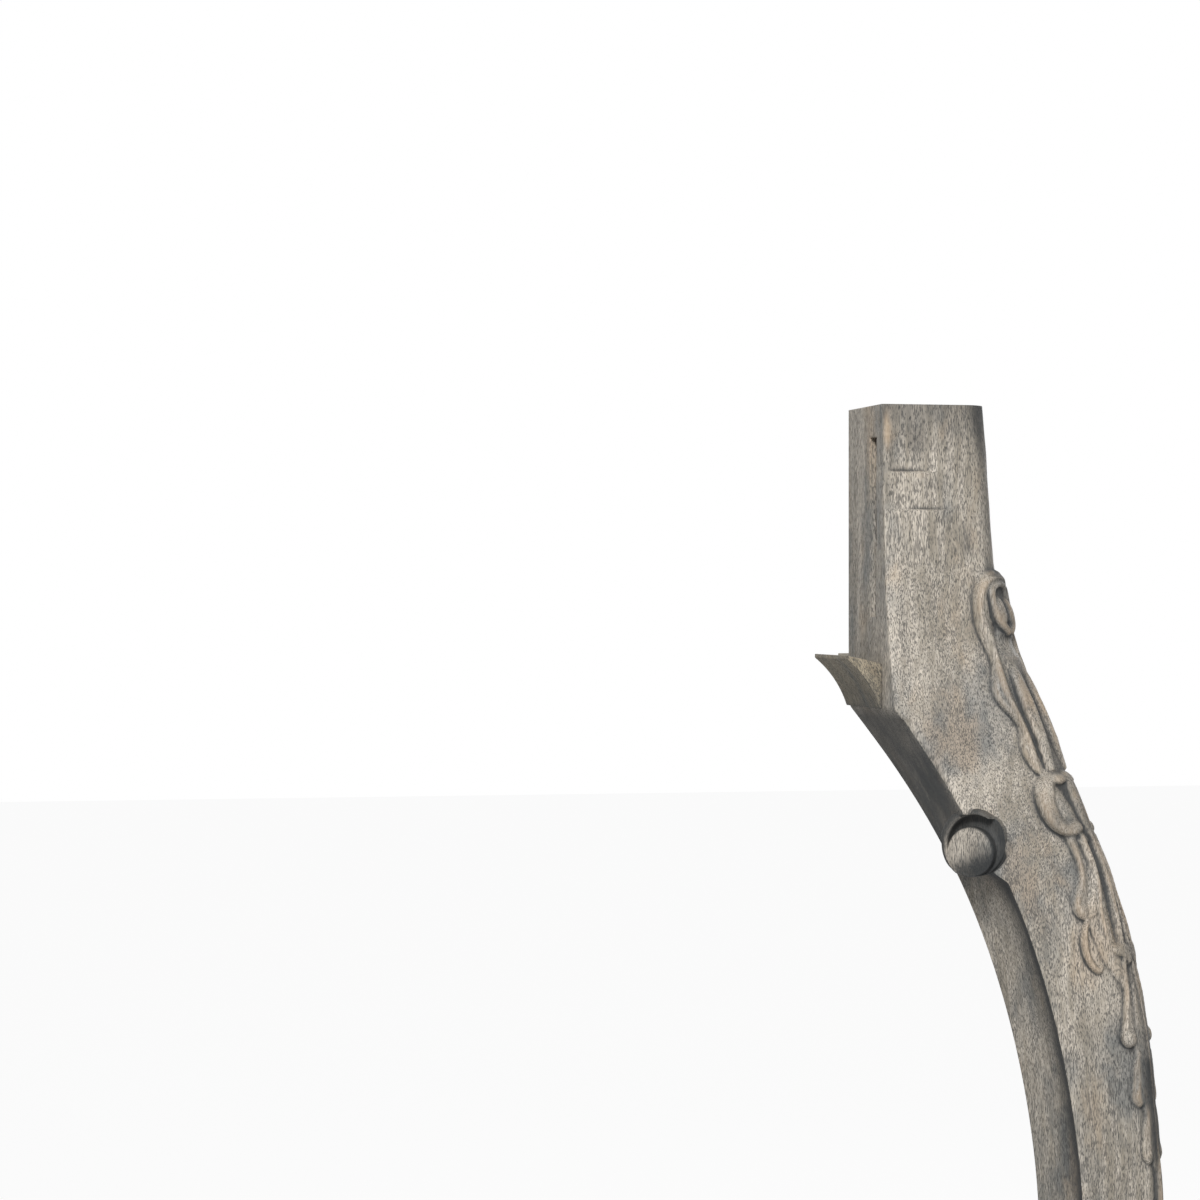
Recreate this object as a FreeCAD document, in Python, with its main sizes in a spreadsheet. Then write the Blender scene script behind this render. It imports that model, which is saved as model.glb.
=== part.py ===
import FreeCAD, Part
import math
import os

import Sketcher
from FreeCAD import Placement, Rotation, Vector

# Cabriole leg for a carved console table, in millimetres.
#
# The leg is sawn from a square billet with one template, used on two neighbouring faces, and is
# then rounded along its outer corner and carved. It is the same on both sides of the upright
# plane through the post's inner corner and the outer corner (the crest). While it is built, the
# post's inner corner stands on the Z axis, the front face looks along -Y and the outer side
# along +X. Each finished piece is then moved so that the middle of the sole is the origin.
#
# "reach" is how far a face lies from the post's inner faces, "thick" is the leg's thickness at
# that height, and "inset" is how far in from the outer line a carved outline lies.

doc = FreeCAD.newDocument("cabriole_leg")
sheet = doc.addObject("Spreadsheet::Sheet", "Sizes")

GENERAL_SIZES = [
    ("leg_height", 750.0),
    ("billet", 150.0),
    ("post_square", 56.5),
    ("rail_depth", 151.5),
    ("sole_thick", 36.0),
    ("sole_reach", 87.0),
    ("crest_radius_post", 14.0),
    ("crest_radius_foot", 8.0),
    ("mortise_setback", 42.0),
    ("mortise_width", 10.0),
    ("mortise_depth", 30.0),
    ("mortise_height", 90.0),
    ("mortise_shoulder", 16.0),
    ("block_run", 18.0),
    ("block_drop", 22.5),
    ("block_rise", 4.0),
    ("block_hollow", 2.2),
    ("block_lip", 1.0),
    ("block_tip", 2.0),
    ("arris_radius", 3.5),
    ("cove_ridge", 5.5),
    ("cove_hollow", 6.0),
    ("cove_back", 1.5),
    ("cove_top_height", 518.5),
    ("cove_end_height", 118.0),
    ("scroll_height", 529.5),
    ("scroll_shift", 8.2),
    ("eye_radius", 12.0),
    ("eye_recess", 3.0),
    ("eye_softening", 2.0),
    ("groove_radius", 15.5),
    ("groove_shift", 2.9),
    ("groove_recess", 8.5),
    ("knuckle_radius", 17.5),
    ("knuckle_recess", 1.5),
    ("leaf_core", 20.0),
    ("leaf_ground", 2.0),
    ("leaf_relief", 4.0),
    ("bead_relief", 5.0),
]

# The template's stations below the post: name, height above the floor, reach of the outer line,
# and thickness there. The collar and the shoulder still lie on the post, which has no inner curve.
STATIONS = [
    ("collar", 670.0, 61.0, None),
    ("shoulder", 632.0, 67.5, None),
    ("hip", 572.5, 85.2, 69.0),
    ("knee", 512.5, 104.6, 60.8),
    ("upper_bow", 452.5, 116.3, 55.0),
    ("bow", 392.5, 121.5, 50.2),
    ("lower_bow", 332.5, 122.8, 48.0),
    ("calf", 242.0, 114.5, 48.0),
    ("shin", 160.0, 95.0, 44.0),
    ("ankle", 95.0, 77.0, 35.0),
    ("instep", 45.0, 80.0, 37.0),
    ("toe", 15.0, 90.0, 44.0),
]


def add_size(row, name, value):
    sheet.set("A%d" % row, name)
    sheet.set("B%d" % row, repr(value))
    sheet.setAlias("B%d" % row, name)


rows = list(GENERAL_SIZES)
for station, height, reach, thick in STATIONS:
    rows.append((station + "_height", height))
    rows.append((station + "_reach", reach))
    if thick is not None:
        rows.append((station + "_thick", thick))
for row, (name, value) in enumerate(rows, start=1):
    add_size(row, name, value)
doc.recompute()


def size(name):
    return float(sheet.get(name))


POST_FOOT = size("leg_height") - size("rail_depth")
FOOT_CENTRE = size("sole_reach") - size("sole_thick") / 2


# The template's two long curves, as splines in the XZ plane.

def outer_curve(relief=0.0):
    points = [Vector(size(name + "_reach") + relief, 0, size(name + "_height"))
              for name, height, reach, thick in STATIONS]
    curve = Part.BSplineCurve()
    curve.interpolate(points)
    return curve


def inner_curve(core=0.0):
    points = [Vector(core, 0, POST_FOOT)]
    for name, height, reach, thick in STATIONS:
        if thick is not None:
            inner = size(name + "_reach") - size(name + "_thick")
            points.append(Vector(inner + core, 0, size(name + "_height")))
    curve = Part.BSplineCurve()
    curve.interpolate(points)
    return curve


def at_height(curve, height):
    """How far out a curve that runs downwards lies at one height."""
    low, high = curve.FirstParameter, curve.LastParameter
    for step in range(50):
        middle = (low + high) / 2
        if curve.value(middle).z > height:
            low = middle
        else:
            high = middle
    return curve.value(low).x


OUTER = outer_curve()
INNER = inner_curve()


def outer_at(height):
    """Reach of the outer line at a height, on the post as well."""
    top, collar = size("leg_height"), size("collar_height")
    if height > collar:
        share = (top - height) / (top - collar)
        return size("post_square") + share * (size("collar_reach") - size("post_square"))
    return at_height(OUTER, height)


# Sketches and pads

def plane_of(body, role):
    for feature in body.Origin.OriginFeatures:
        if feature.Role == role:
            return feature
    raise ValueError(role)


def in_sketch(edge, side):
    """An edge of the XZ plane in a sketch's own axes, with X turned round for the side plane."""
    def place(point):
        return Vector(side * point.x, point.z, 0)
    if isinstance(edge, Part.LineSegment):
        return Part.LineSegment(place(edge.StartPoint), place(edge.EndPoint))
    spline = Part.BSplineCurve()
    spline.buildFromPolesMultsKnots([place(pole) for pole in edge.getPoles()],
                                    edge.getMultiplicities(), edge.getKnots(),
                                    edge.isPeriodic(), edge.Degree)
    return spline


def pad_of(name, role, edges, length, ties=()):
    """A body padded from the post's inner corner outwards, from one closed outline.

    ties lists (edge, end, X as words for the sheet, height as words), where None is left free.
    """
    side = 1 if role == "XZ_Plane" else -1
    body = doc.addObject("PartDesign::Body", name)
    sketch = body.newObject("Sketcher::SketchObject", name + "_outline")
    sketch.AttachmentSupport = (plane_of(body, role), "")
    sketch.MapMode = "FlatFace"
    for edge in edges:
        sketch.addGeometry(in_sketch(edge, side), False)
    if len(edges) > 1:
        for index in range(len(edges)):
            following = (index + 1) % len(edges)
            sketch.addConstraint(Sketcher.Constraint("Coincident", index, 2, following, 1))
    for edge, end, across, up in ties:
        here = sketch.getPoint(edge, end)
        if across is not None:
            tie = sketch.addConstraint(
                Sketcher.Constraint("DistanceX", -1, 1, edge, end, here.x))
            sketch.setExpression("Constraints[%d]" % tie, "%d * (%s)" % (side, across))
        if up is not None:
            tie = sketch.addConstraint(
                Sketcher.Constraint("DistanceY", -1, 1, edge, end, here.y))
            sketch.setExpression("Constraints[%d]" % tie, up)
    pad = body.newObject("PartDesign::Pad", name + "_pad")
    pad.Profile = sketch
    pad.setExpression("Length", length)
    doc.recompute()
    return body


def point_at(x, height):
    return Vector(x, 0, height)


def line(start, end):
    return Part.LineSegment(start, end)


def template_edges(relief, core):
    """The sawing template: outer line moved out by relief, inner line moved in by core."""
    top = size("leg_height")
    outer = outer_curve(relief)
    inner = inner_curve(core)
    inner.reverse()
    sole_out = point_at(size("sole_reach") + relief, 0)
    sole_in = point_at(size("sole_reach") - size("sole_thick") + core, 0)
    post_out = point_at(size("post_square") + relief, top)
    post_in = point_at(core, top)
    return [
        line(post_in, post_out),
        line(post_out, outer.StartPoint),
        outer,
        line(outer.EndPoint, sole_out),
        line(sole_out, sole_in),
        line(sole_in, inner.StartPoint),
        inner,
        line(inner.EndPoint, post_in),
    ]


def sawn_blank(name, relief="0", core="0", relief_value=0.0, core_value=0.0):
    """What is left when the template is sawn from the front and from the side."""
    edges = template_edges(relief_value, core_value)
    ties = [
        (0, 2, "Sizes.post_square + " + relief, "Sizes.leg_height"),
        (1, 2, "Sizes.collar_reach + " + relief, "Sizes.collar_height"),
        (2, 2, "Sizes.toe_reach + " + relief, "Sizes.toe_height"),
        (3, 2, "Sizes.sole_reach + " + relief, None),
        (4, 2, "Sizes.sole_reach - Sizes.sole_thick + " + core, None),
        (5, 2, "Sizes.toe_reach - Sizes.toe_thick + " + core, "Sizes.toe_height"),
        (6, 2, None, "Sizes.leg_height - Sizes.rail_depth"),
    ]
    front = pad_of(name + "_front", "XZ_Plane", edges, "Sizes.billet", ties)
    side = pad_of(name + "_side", "YZ_Plane", edges, "Sizes.billet", ties)
    sawn = doc.addObject("Part::MultiCommon", name + "_sawn")
    sawn.Shapes = [front, side]
    doc.recompute()
    return sawn, side


def edge_numbers(shape, is_wanted):
    return [number for number, edge in enumerate(shape.Edges, start=1) if is_wanted(edge)]


def ends_of(edge):
    return [vertex.Point for vertex in edge.Vertexes]


def is_crest(edge):
    """Edges of the outer corner: in the upright mirror plane and outside the post's middle."""
    return (len(edge.Vertexes) == 2 and edge.Length > size("toe_height") * 2
            and all(abs(end.x + end.y) < 0.01 and end.x > size("post_square") * 0.9
                    for end in ends_of(edge)))


def round_crest(name, base, relief=0.0, arrises=False):
    """The blank with its outer corner rounded, and its other corners softened below the post.

    The crest's radius is even down the post and lessens from the collar to the foot.
    """
    shape = base.Shape
    on_post = size("crest_radius_post") + relief
    at_foot = size("crest_radius_foot") + relief
    rounded = []
    for number in edge_numbers(shape, is_crest):
        if max(end.z for end in ends_of(shape.Edges[number - 1])) > size("leg_height") - 1:
            rounded.append((number, on_post, on_post))
        else:
            rounded.append((number, at_foot, on_post))
    if arrises:
        rounded += [(number, size("arris_radius"), size("arris_radius"))
                    for number in edge_numbers(shape, is_inner_arris)]
    fillet = doc.addObject("Part::Fillet", name)
    fillet.Base = base
    fillet.Edges = rounded
    doc.recompute()
    return fillet


def is_inner_arris(edge):
    """The long edges below the post that touch an inner face."""
    if len(edge.Vertexes) != 2 or edge.Length < size("rail_depth") * 2:
        return False
    highest = max(ends_of(edge), key=lambda end: end.z)
    return abs(highest.z - POST_FOOT) < 0.01


def boolean(kind, name, shapes):
    result = doc.addObject("Part::" + kind, name)
    result.Shapes = shapes
    result.Refine = True
    doc.recompute()
    return result


def cut(name, base, tool):
    result = doc.addObject("Part::Cut", name)
    result.Base = base
    result.Tool = tool
    result.Refine = False
    doc.recompute()
    return result


def mirror_image(name, source):
    """The same thing on the leg's other side: front and outer side change places."""
    image = doc.addObject("Part::Mirroring", name)
    image.Source = source
    image.Base = Vector(0, 0, 0)
    image.Normal = Vector(1, 1, 0)
    doc.recompute()
    return image


# The rounded blank

leg_sawn, side_slab = sawn_blank("leg")
blank = round_crest("blank", leg_sawn, arrises=True)


# The front half of the space, up to the mirror plane. The carving is made there only.

front_half = doc.addObject("Part::Box", "front_half")
front_half.setExpression("Length", "3 * Sizes.billet")
front_half.setExpression("Width", "Sizes.billet")
front_half.setExpression("Height", "Sizes.leg_height")
front_half.Placement = Placement(Vector(0, 0, 0), Rotation(Vector(0, 0, 1), -45))
doc.recompute()
front_half.Placement.Base = front_half.Placement.Rotation.multVec(
    Vector(-front_half.Width.Value, -front_half.Width.Value, 0))
doc.recompute()


# Scroll on the front left arris: a round eye in a groove, with a knuckle of wood round it that
# stands out from the inner face. Its axis points halfway between the front and the inner side.

SCROLL_OUTWARD = Vector(-1, -1, 0).normalize()
SCROLL_ACROSS = Vector(1, -1, 0).normalize()
SCROLL_TURN = Rotation(Vector(0, 0, 1), SCROLL_OUTWARD)


def scroll_point(recess, across=0.0, up=0.0):
    """A point in the scroll's own axes: behind the arris, across it and above the eye's middle."""
    height = size("scroll_height")
    arris = Vector(at_height(INNER, height), -outer_at(height), height + up)
    return arris - SCROLL_OUTWARD * recess + SCROLL_ACROSS * (across - size("scroll_shift"))


def scroll_cylinder(name, radius, front_recess, depth, across=0.0, up=0.0):
    """A cylinder on the scroll's axis from its front end inwards."""
    drum = doc.addObject("Part::Cylinder", name)
    drum.setExpression("Radius", radius)
    drum.setExpression("Height", depth)
    doc.recompute()
    back = scroll_point(front_recess, across, up) - SCROLL_OUTWARD * drum.Height.Value
    drum.Placement = Placement(back, SCROLL_TURN)
    return drum


knuckle_drum = scroll_cylinder("knuckle_drum", "Sizes.knuckle_radius", size("knuckle_recess"),
                               "1.7 * Sizes.knuckle_radius")
knuckle = boolean("MultiCommon", "knuckle", [knuckle_drum, side_slab])
groove = scroll_cylinder("groove", "Sizes.groove_radius", -size("groove_radius"),
                         "Sizes.groove_radius + Sizes.groove_recess",
                         size("groove_shift"), size("groove_shift"))
eye_drum = scroll_cylinder("eye_drum", "Sizes.eye_radius", size("eye_recess"),
                           "1.5 * Sizes.eye_radius")
eye = doc.addObject("Part::Fillet", "eye")
eye.Base = eye_drum
eye_front = scroll_point(size("eye_recess"))
eye.Edges = [(number, size("eye_softening"), size("eye_softening"))
             for number in edge_numbers(eye_drum.Shape, lambda edge: len(edge.Vertexes) == 1
                                        and (edge.CenterOfMass - eye_front).Length < 1)]
doc.recompute()


# Cove down the inner face: a hollow between the front face and the inner corner, sunk most next
# to the ridge, that starts under the scroll and runs out above the ankle.

COVE_SECTIONS = 9


def cove_section(index):
    share = index / (COVE_SECTIONS - 1)
    top, end = size("cove_top_height"), size("cove_end_height")
    height = top + share * (end - top)
    fade = max(0.0, (share - 0.6) / 0.4) ** 2
    inner, outer = at_height(INNER, height), outer_at(height)
    ridge = Vector(inner + size("cove_ridge") * (1 - fade), -outer, height)
    back = Vector(inner, -inner - size("cove_back"), height)
    chord = ridge - back
    hollow = size("cove_hollow") * (1 - 0.5 * fade)
    radius = (chord.Length ** 2 / 4 + hollow ** 2) / (2 * hollow)
    outward = Vector(0, 0, 1).cross(chord).normalize()
    if outward.x > 0:
        outward = outward * -1
    run_out = (hollow + 1) * fade
    circle = doc.addObject("Part::Circle", "cove_circle_%d" % (index + 1))
    circle.Radius = radius
    circle.Placement.Base = (ridge + back) * 0.5 + outward * (radius - hollow + run_out)
    return circle


cove = doc.addObject("Part::Loft", "cove")
cove.Sections = [cove_section(index) for index in range(COVE_SECTIONS)]
cove.Solid = True
doc.recompute()


# Blind mortises for the two rails' tenons

mortise = doc.addObject("Part::Box", "mortise")
mortise.setExpression("Length", "Sizes.mortise_depth")
mortise.setExpression("Width", "Sizes.mortise_width")
mortise.setExpression("Height", "Sizes.mortise_height")
mortise.setExpression("Placement.Base.y", "-Sizes.mortise_setback - Sizes.mortise_width / 2")
mortise.setExpression("Placement.Base.z",
                      "Sizes.leg_height - Sizes.mortise_shoulder - Sizes.mortise_height")
doc.recompute()


# Carved leaf on the crest. The ground is cut on both faces at once; the lobes are drawn on the
# front face and repeated on the side. Each outline is a list of (inset, height) pairs.

LEAF_EDGE = [
    (9, 667), (16.5, 656), (17.5, 640), (16.5, 622), (18, 606), (15, 590), (15.5, 570),
    (22, 552), (19, 538), (14.5, 528), (16, 512), (21, 500), (20, 486), (17, 474), (11, 462),
    (12, 446), (10.5, 430), (10.5, 412), (8, 398), (7.5, 384), (4.5, 372), (3, 357.5),
]

LOBES = {
    "upper_curl": [(4, 666), (11, 665), (17, 658), (19.8, 646), (19.5, 636), (16, 630),
                   (13, 640), (12, 652), (9, 659), (4, 660)],
    "ribbon": [(18, 642), (20, 636), (18.6, 628), (19.2, 617), (22.3, 606.5), (20, 598),
               (17.2, 594), (17, 588), (19.4, 580), (19.2, 573), (15.8, 566.5), (13.5, 575),
               (12.6, 588), (13, 602), (15, 612), (14.4, 630), (14, 640)],
    "crest_ridge": [(8, 634), (10, 615), (8.5, 600), (7.5, 585), (8, 572), (4.2, 570),
                    (3.8, 600), (3.8, 618), (4.2, 632)],
    "volute": [(14, 566), (20.6, 559.5), (24.7, 551), (25, 542), (21.8, 536.5), (15, 535.5),
               (12.5, 541), (13.5, 549), (12.5, 556), (9.5, 561.5), (9, 565.5)],
    "long_lobe": [(16.4, 535), (16.2, 526.5), (19.4, 515.8), (25.2, 505.5), (26, 500),
                  (22.5, 496.8), (18.5, 498.5), (17.5, 506), (13.8, 518), (12.6, 530)],
    "hook": [(23.8, 494), (27.2, 486), (28.2, 478), (25, 472.3), (20.8, 470), (18.7, 474),
             (22, 478), (22.6, 485), (21.5, 492)],
    "middle_ridge": [(11, 536), (12, 520), (14, 500), (13.6, 483), (10, 477.5), (6, 476),
                     (7.5, 490), (8.6, 510), (8, 530)],
    "long_drop": [(9.5, 474), (11, 463), (13.2, 452), (16.5, 444), (15.8, 438), (12.7, 435.3),
                  (9.2, 437), (8.2, 443), (9.8, 452), (8.2, 462), (7, 470)],
    "middle_drop": [(9.6, 432), (13.2, 420), (14.4, 411), (12.8, 407.3), (9.5, 407), (8, 412),
                    (9, 422), (7.6, 432)],
    "short_drop": [(8, 405), (10.4, 392), (11, 384), (9, 380.5), (6.5, 381), (6, 388),
                   (6.5, 404)],
}

BEADS = {
    "upper_bead": [(5.4, 654), (8.8, 650), (9.4, 645), (7.6, 640.5), (5, 639.5), (3.8, 646)],
    "lower_bead": [(9.5, 552), (11, 546), (9, 540), (5.5, 540), (4, 546), (5, 551)],
}


def on_template(inset, height):
    return point_at(outer_at(height) - inset, height)


def closed_outline(pairs):
    curve = Part.BSplineCurve()
    curve.interpolate([on_template(*pair) for pair in pairs], PeriodicFlag=True)
    return [curve]


def leaf_ground_edges():
    """The leaf's edge, closed by straight lines that pass outside the wood."""
    edge = Part.BSplineCurve()
    edge.interpolate([on_template(*pair) for pair in LEAF_EDGE])
    far = size("billet")
    above = point_at(far, edge.StartPoint.z)
    below = point_at(far, edge.EndPoint.z)
    return [edge, line(edge.EndPoint, below), line(below, above), line(above, edge.StartPoint)]


def raised_blank(name, relief):
    """A skin over the blank, as high as the relief, whose inner faces lie inside the wood."""
    sawn, slab = sawn_blank(name, "Sizes." + relief, "Sizes.leaf_core", size(relief),
                            size("leaf_core"))
    return round_crest(name + "_round", sawn, size(relief))


def carved(name, pads, relief):
    """What the outlines leave standing of a raised skin, on the front half."""
    joined = boolean("MultiFuse", name + "_outlines", pads) if len(pads) > 1 else pads[0]
    return boolean("MultiCommon", name, [raised_blank(name + "_skin", relief), joined, front_half])


def pads_of(outlines):
    return [pad_of(name, "XZ_Plane", closed_outline(pairs), "Sizes.billet")
            for name, pairs in outlines.items()]


ground = carved("ground", [pad_of("leaf", "XZ_Plane", leaf_ground_edges(), "Sizes.billet")],
                "leaf_ground")
lobes = carved("lobes", pads_of(LOBES), "leaf_relief")
beads = carved("beads", pads_of(BEADS), "bead_relief")


# The carved half of the leg, and the whole leg from it and its mirror image

stock = boolean("MultiFuse", "stock", [boolean("MultiCommon", "half_blank", [blank, front_half]),
                                       knuckle])
hollowed = stock
for tool in (groove, cove, mortise):
    hollowed = cut("less_" + tool.Name, hollowed, tool)
half_leg = boolean("MultiFuse", "half_leg", [hollowed, eye, ground, lobes, beads])
leg = boolean("MultiFuse", "leg_carved", [half_leg, mirror_image("other_half", half_leg)])


# Knee blocks: wedges with a hollow underside that carry the leg's curve on under the rails

def knee_block_edges():
    top = POST_FOOT + size("block_drop")
    tip_x = -size("block_run")
    seat_low = point_at(0, POST_FOOT)
    seat_high = point_at(0, top)
    tip_high = point_at(tip_x, top + size("block_rise"))
    tip_low = tip_high - Vector(0, 0, size("block_tip"))
    lip = point_at(-size("block_lip"), POST_FOOT)
    chord = lip - tip_low
    inward = Vector(-chord.z, 0, chord.x).normalize()
    if inward.z < 0:
        inward = inward * -1
    middle = (tip_low + lip) * 0.5 + inward * size("block_hollow")
    underside = Part.BSplineCurve()
    underside.interpolate([tip_low, middle, lip])
    return [line(seat_high, tip_high), line(tip_high, tip_low), underside,
            line(lip, seat_low), line(seat_low, seat_high)]


block_ties = [
    (0, 1, None, "Sizes.leg_height - Sizes.rail_depth + Sizes.block_drop"),
    (0, 2, "-Sizes.block_run", None),
    (3, 1, "-Sizes.block_lip", "Sizes.leg_height - Sizes.rail_depth"),
]
front_block = pad_of("front_block", "XZ_Plane", knee_block_edges(), "Sizes.post_square",
                     block_ties)
side_block = mirror_image("side_block", front_block)


# Finished pieces, moved so that the middle of the sole is the origin

def finished(node, source):
    piece = doc.addObject("Part::Compound", node)
    piece.Links = [source]
    piece.Label = node
    piece.setExpression("Placement.Base.x", "Sizes.sole_thick / 2 - Sizes.sole_reach")
    piece.setExpression("Placement.Base.y", "Sizes.sole_reach - Sizes.sole_thick / 2")
    return piece


pieces = [finished("leg", leg), finished("knee_block_front", front_block),
          finished("knee_block_side", side_block)]
doc.recompute()

for item in doc.Objects:
    if "Invalid" in item.State or "Error" in item.State:
        raise RuntimeError("%s failed: %s" % (item.Name, item.State))
os.makedirs("parts", exist_ok=True)
for piece in pieces:
    if piece.Shape.isNull() or not piece.Shape.isValid() or len(piece.Shape.Solids) != 1:
        raise RuntimeError("%s is not one valid solid" % piece.Label)
for piece in pieces:
    piece.Shape.Solids[0].exportStep("parts/%s.step" % piece.Label)
    box = piece.Shape.BoundBox
    print("%-18s %9.0f mm3  %6.1f x %6.1f x %6.1f" %
          (piece.Label, piece.Shape.Volume, box.XLength, box.YLength, box.ZLength))
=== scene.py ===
import math

import bmesh
import bpy
import numpy as np
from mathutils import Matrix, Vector


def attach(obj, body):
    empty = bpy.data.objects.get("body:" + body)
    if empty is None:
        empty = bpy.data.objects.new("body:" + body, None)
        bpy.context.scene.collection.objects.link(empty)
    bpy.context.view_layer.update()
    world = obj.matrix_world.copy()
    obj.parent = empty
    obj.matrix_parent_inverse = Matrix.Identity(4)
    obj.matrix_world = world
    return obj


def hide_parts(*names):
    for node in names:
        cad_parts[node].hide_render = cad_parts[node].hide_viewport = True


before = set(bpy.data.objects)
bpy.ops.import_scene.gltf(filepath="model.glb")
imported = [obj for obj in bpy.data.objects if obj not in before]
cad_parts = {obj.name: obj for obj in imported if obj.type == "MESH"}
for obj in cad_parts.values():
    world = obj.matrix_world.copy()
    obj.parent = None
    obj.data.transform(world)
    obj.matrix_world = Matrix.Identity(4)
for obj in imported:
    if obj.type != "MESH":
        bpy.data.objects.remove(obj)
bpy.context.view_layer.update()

# Leg: one billet of a fine-grained hardwood, stained grey-brown. The same template is sawn on the
# front and on the outer side, the outer corner is rounded to a crest, and the knee is carved by
# hand with a leaf, a scroll on each neighbouring arris and a long cove under each scroll.

LEG_HEIGHT = 0.750
TOP = 1000 * LEG_HEIGHT
SOLE_REACH, SOLE_THICK = 87.0, 36.0
POST_SQUARE, RAIL_DEPTH = 56.5, 151.5
POST_FOOT = TOP - RAIL_DEPTH
BILLET = 150.0
CENTRE = 69.0  # from the post's inner corner to the part's origin, along each face
FACE_LIMIT = 185000
OUTER_LINE = [(POST_SQUARE, TOP), (61, 670), (67.5, 632), (85.2, 572.5), (104.6, 512.5),
              (116.3, 452.5), (121.5, 392.5), (122.8, 332.5), (114.5, 242), (95, 160),
              (77, 95), (80, 45), (90, 15), (SOLE_REACH, 0)]
THICKNESS = [(69.6, 572.5), (60.8, 512.5), (55, 452.5), (50.2, 392.5), (48, 332.5), (48, 242),
             (44, 160), (35, 95), (37, 45), (44, 15)]


def smooth_line(points, count):
    """A natural cubic spline through points of any number of columns, spaced by chord length."""
    p = np.array(points, float)
    chord = np.r_[0, np.cumsum(np.hypot(*np.diff(p[:, :2], axis=0).T))]
    step = np.diff(chord)
    n = len(p)
    a = np.eye(n)
    b = np.zeros_like(p)
    for k in range(1, n - 1):
        a[k, k - 1:k + 2] = step[k - 1], 2 * (step[k - 1] + step[k]), step[k]
        b[k] = 6 * ((p[k + 1] - p[k]) / step[k] - (p[k] - p[k - 1]) / step[k - 1])
    bend = np.linalg.solve(a, b)
    t = np.linspace(0, chord[-1], count)
    k = np.clip(np.searchsorted(chord, t, side="right") - 1, 0, n - 2)
    h, u, w = step[k][:, None], (t - chord[k])[:, None], (chord[k + 1] - t)[:, None]
    return ((bend[k] * w ** 3 + bend[k + 1] * u ** 3) / (6 * h)
            + (p[k] / h - bend[k] * h / 6) * w + (p[k + 1] / h - bend[k + 1] * h / 6) * u)


outer_below = smooth_line([p for p in OUTER_LINE if 15 <= p[1] <= 670], 900)
reach_at = {height: reach for reach, height in OUTER_LINE}
inner_below = smooth_line([(0, POST_FOOT)] + [(reach_at[z] - t, z) for t, z in THICKNESS], 900)


def outer_at(z):
    line = np.vstack([(POST_SQUARE, TOP), outer_below, (SOLE_REACH, 0)])[::-1]
    return np.interp(z, line[:, 1], line[:, 0])


def inner_at(z):
    line = np.vstack([(0, TOP), inner_below, (SOLE_REACH - SOLE_THICK, 0)])[::-1]
    return np.interp(z, line[:, 1], line[:, 0])


def crest_radius_at(z):
    return np.interp(z, (15, 670, TOP), (8, 14, 14))


def spaced(spans):
    """Marks along a line: spans are (end, step), from the start given as the first number."""
    marks = [spans[0]]
    for end, step in spans[1:]:
        count = max(1, round(abs(end - marks[-1]) / step))
        marks += list(np.linspace(marks[-1], end, count + 1)[1:])
    return np.array(marks)


# Rows up the leg, closer where it is carved, and columns round half of its section: a column's
# share runs along the inner side to the arris at 0.5, and from there along the front to the crest.
row_marks = spaced([0, (6, 1.0), (118, 2.2), (345, 1.8), (352, 0.8), (668, 0.62), (744, 1.0),
                    (TOP, 0.8)]) / TOP
column_marks = spaced([0, (0.02, 0.005), (0.36, 0.018), (0.5, 0.0055), (0.62, 0.0055),
                       (0.70, 0.016), (1.0, 0.0053)])


def in_scene(name, data):
    piece = bpy.data.objects.new(name, data)
    bpy.context.scene.collection.objects.link(piece)
    return piece


def grid_quads(rows, columns):
    corner = (np.arange(rows - 1)[:, None] * columns + np.arange(columns - 1)).reshape(-1)
    return np.stack([corner, corner + 1, corner + columns + 1, corner + columns], axis=1)


def flat_sheet(name, across, up):
    """A sheet of vertices, X and Y from 0 to 1, that the wrapping tree turns into the blank."""
    x, y = np.meshgrid(across, up)
    mesh = bpy.data.meshes.new(name)
    verts = np.stack([x, y, np.zeros_like(x)], axis=-1).reshape(-1, 3)
    mesh.from_pydata(verts.tolist(), [], grid_quads(*x.shape).tolist())
    return in_scene(name, mesh)


FLOAT, TINT = "NodeSocketFloat", "NodeSocketColor"


def tree_named(name, sockets):
    """A geometry tree with named inputs; sockets are (name, kind, value)."""
    tree = bpy.data.node_groups.new(name, "GeometryNodeTree")
    tree.interface.new_socket("Geometry", in_out="INPUT", socket_type="NodeSocketGeometry")
    for label, kind, value in sockets:
        socket = tree.interface.new_socket(label, in_out="INPUT", socket_type=kind)
        if value is not None:
            socket.default_value = value
    tree.interface.new_socket("Geometry", in_out="OUTPUT", socket_type="NodeSocketGeometry")
    return tree


def add_node(tree, kind, inputs=None, **settings):
    """One node; inputs map a socket's name or number to a value or to another node's socket."""
    node = tree.nodes.new(kind)
    for key, value in settings.items():
        setattr(node, key, value)
    for key, value in (inputs or {}).items():
        if isinstance(value, bpy.types.NodeSocket):
            tree.links.new(value, node.inputs[key])
        else:
            node.inputs[key].default_value = value
    return node


def value_of(tree, kind, inputs=None, **settings):
    return add_node(tree, kind, inputs, **settings).outputs[0]


def calc(tree, operation, first, second, third=None):
    """The result of one step of arithmetic."""
    inputs = {0: first, 1: second}
    if third is not None:
        inputs[2] = third
    return value_of(tree, "ShaderNodeMath", inputs, operation=operation)


def vector_calc(tree, operation, first, second):
    return value_of(tree, "ShaderNodeVectorMath", {0: first, 1: second},
                    operation=operation)


def vector_of(tree, **parts):
    return value_of(tree, "ShaderNodeCombineXYZ", parts)


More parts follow.
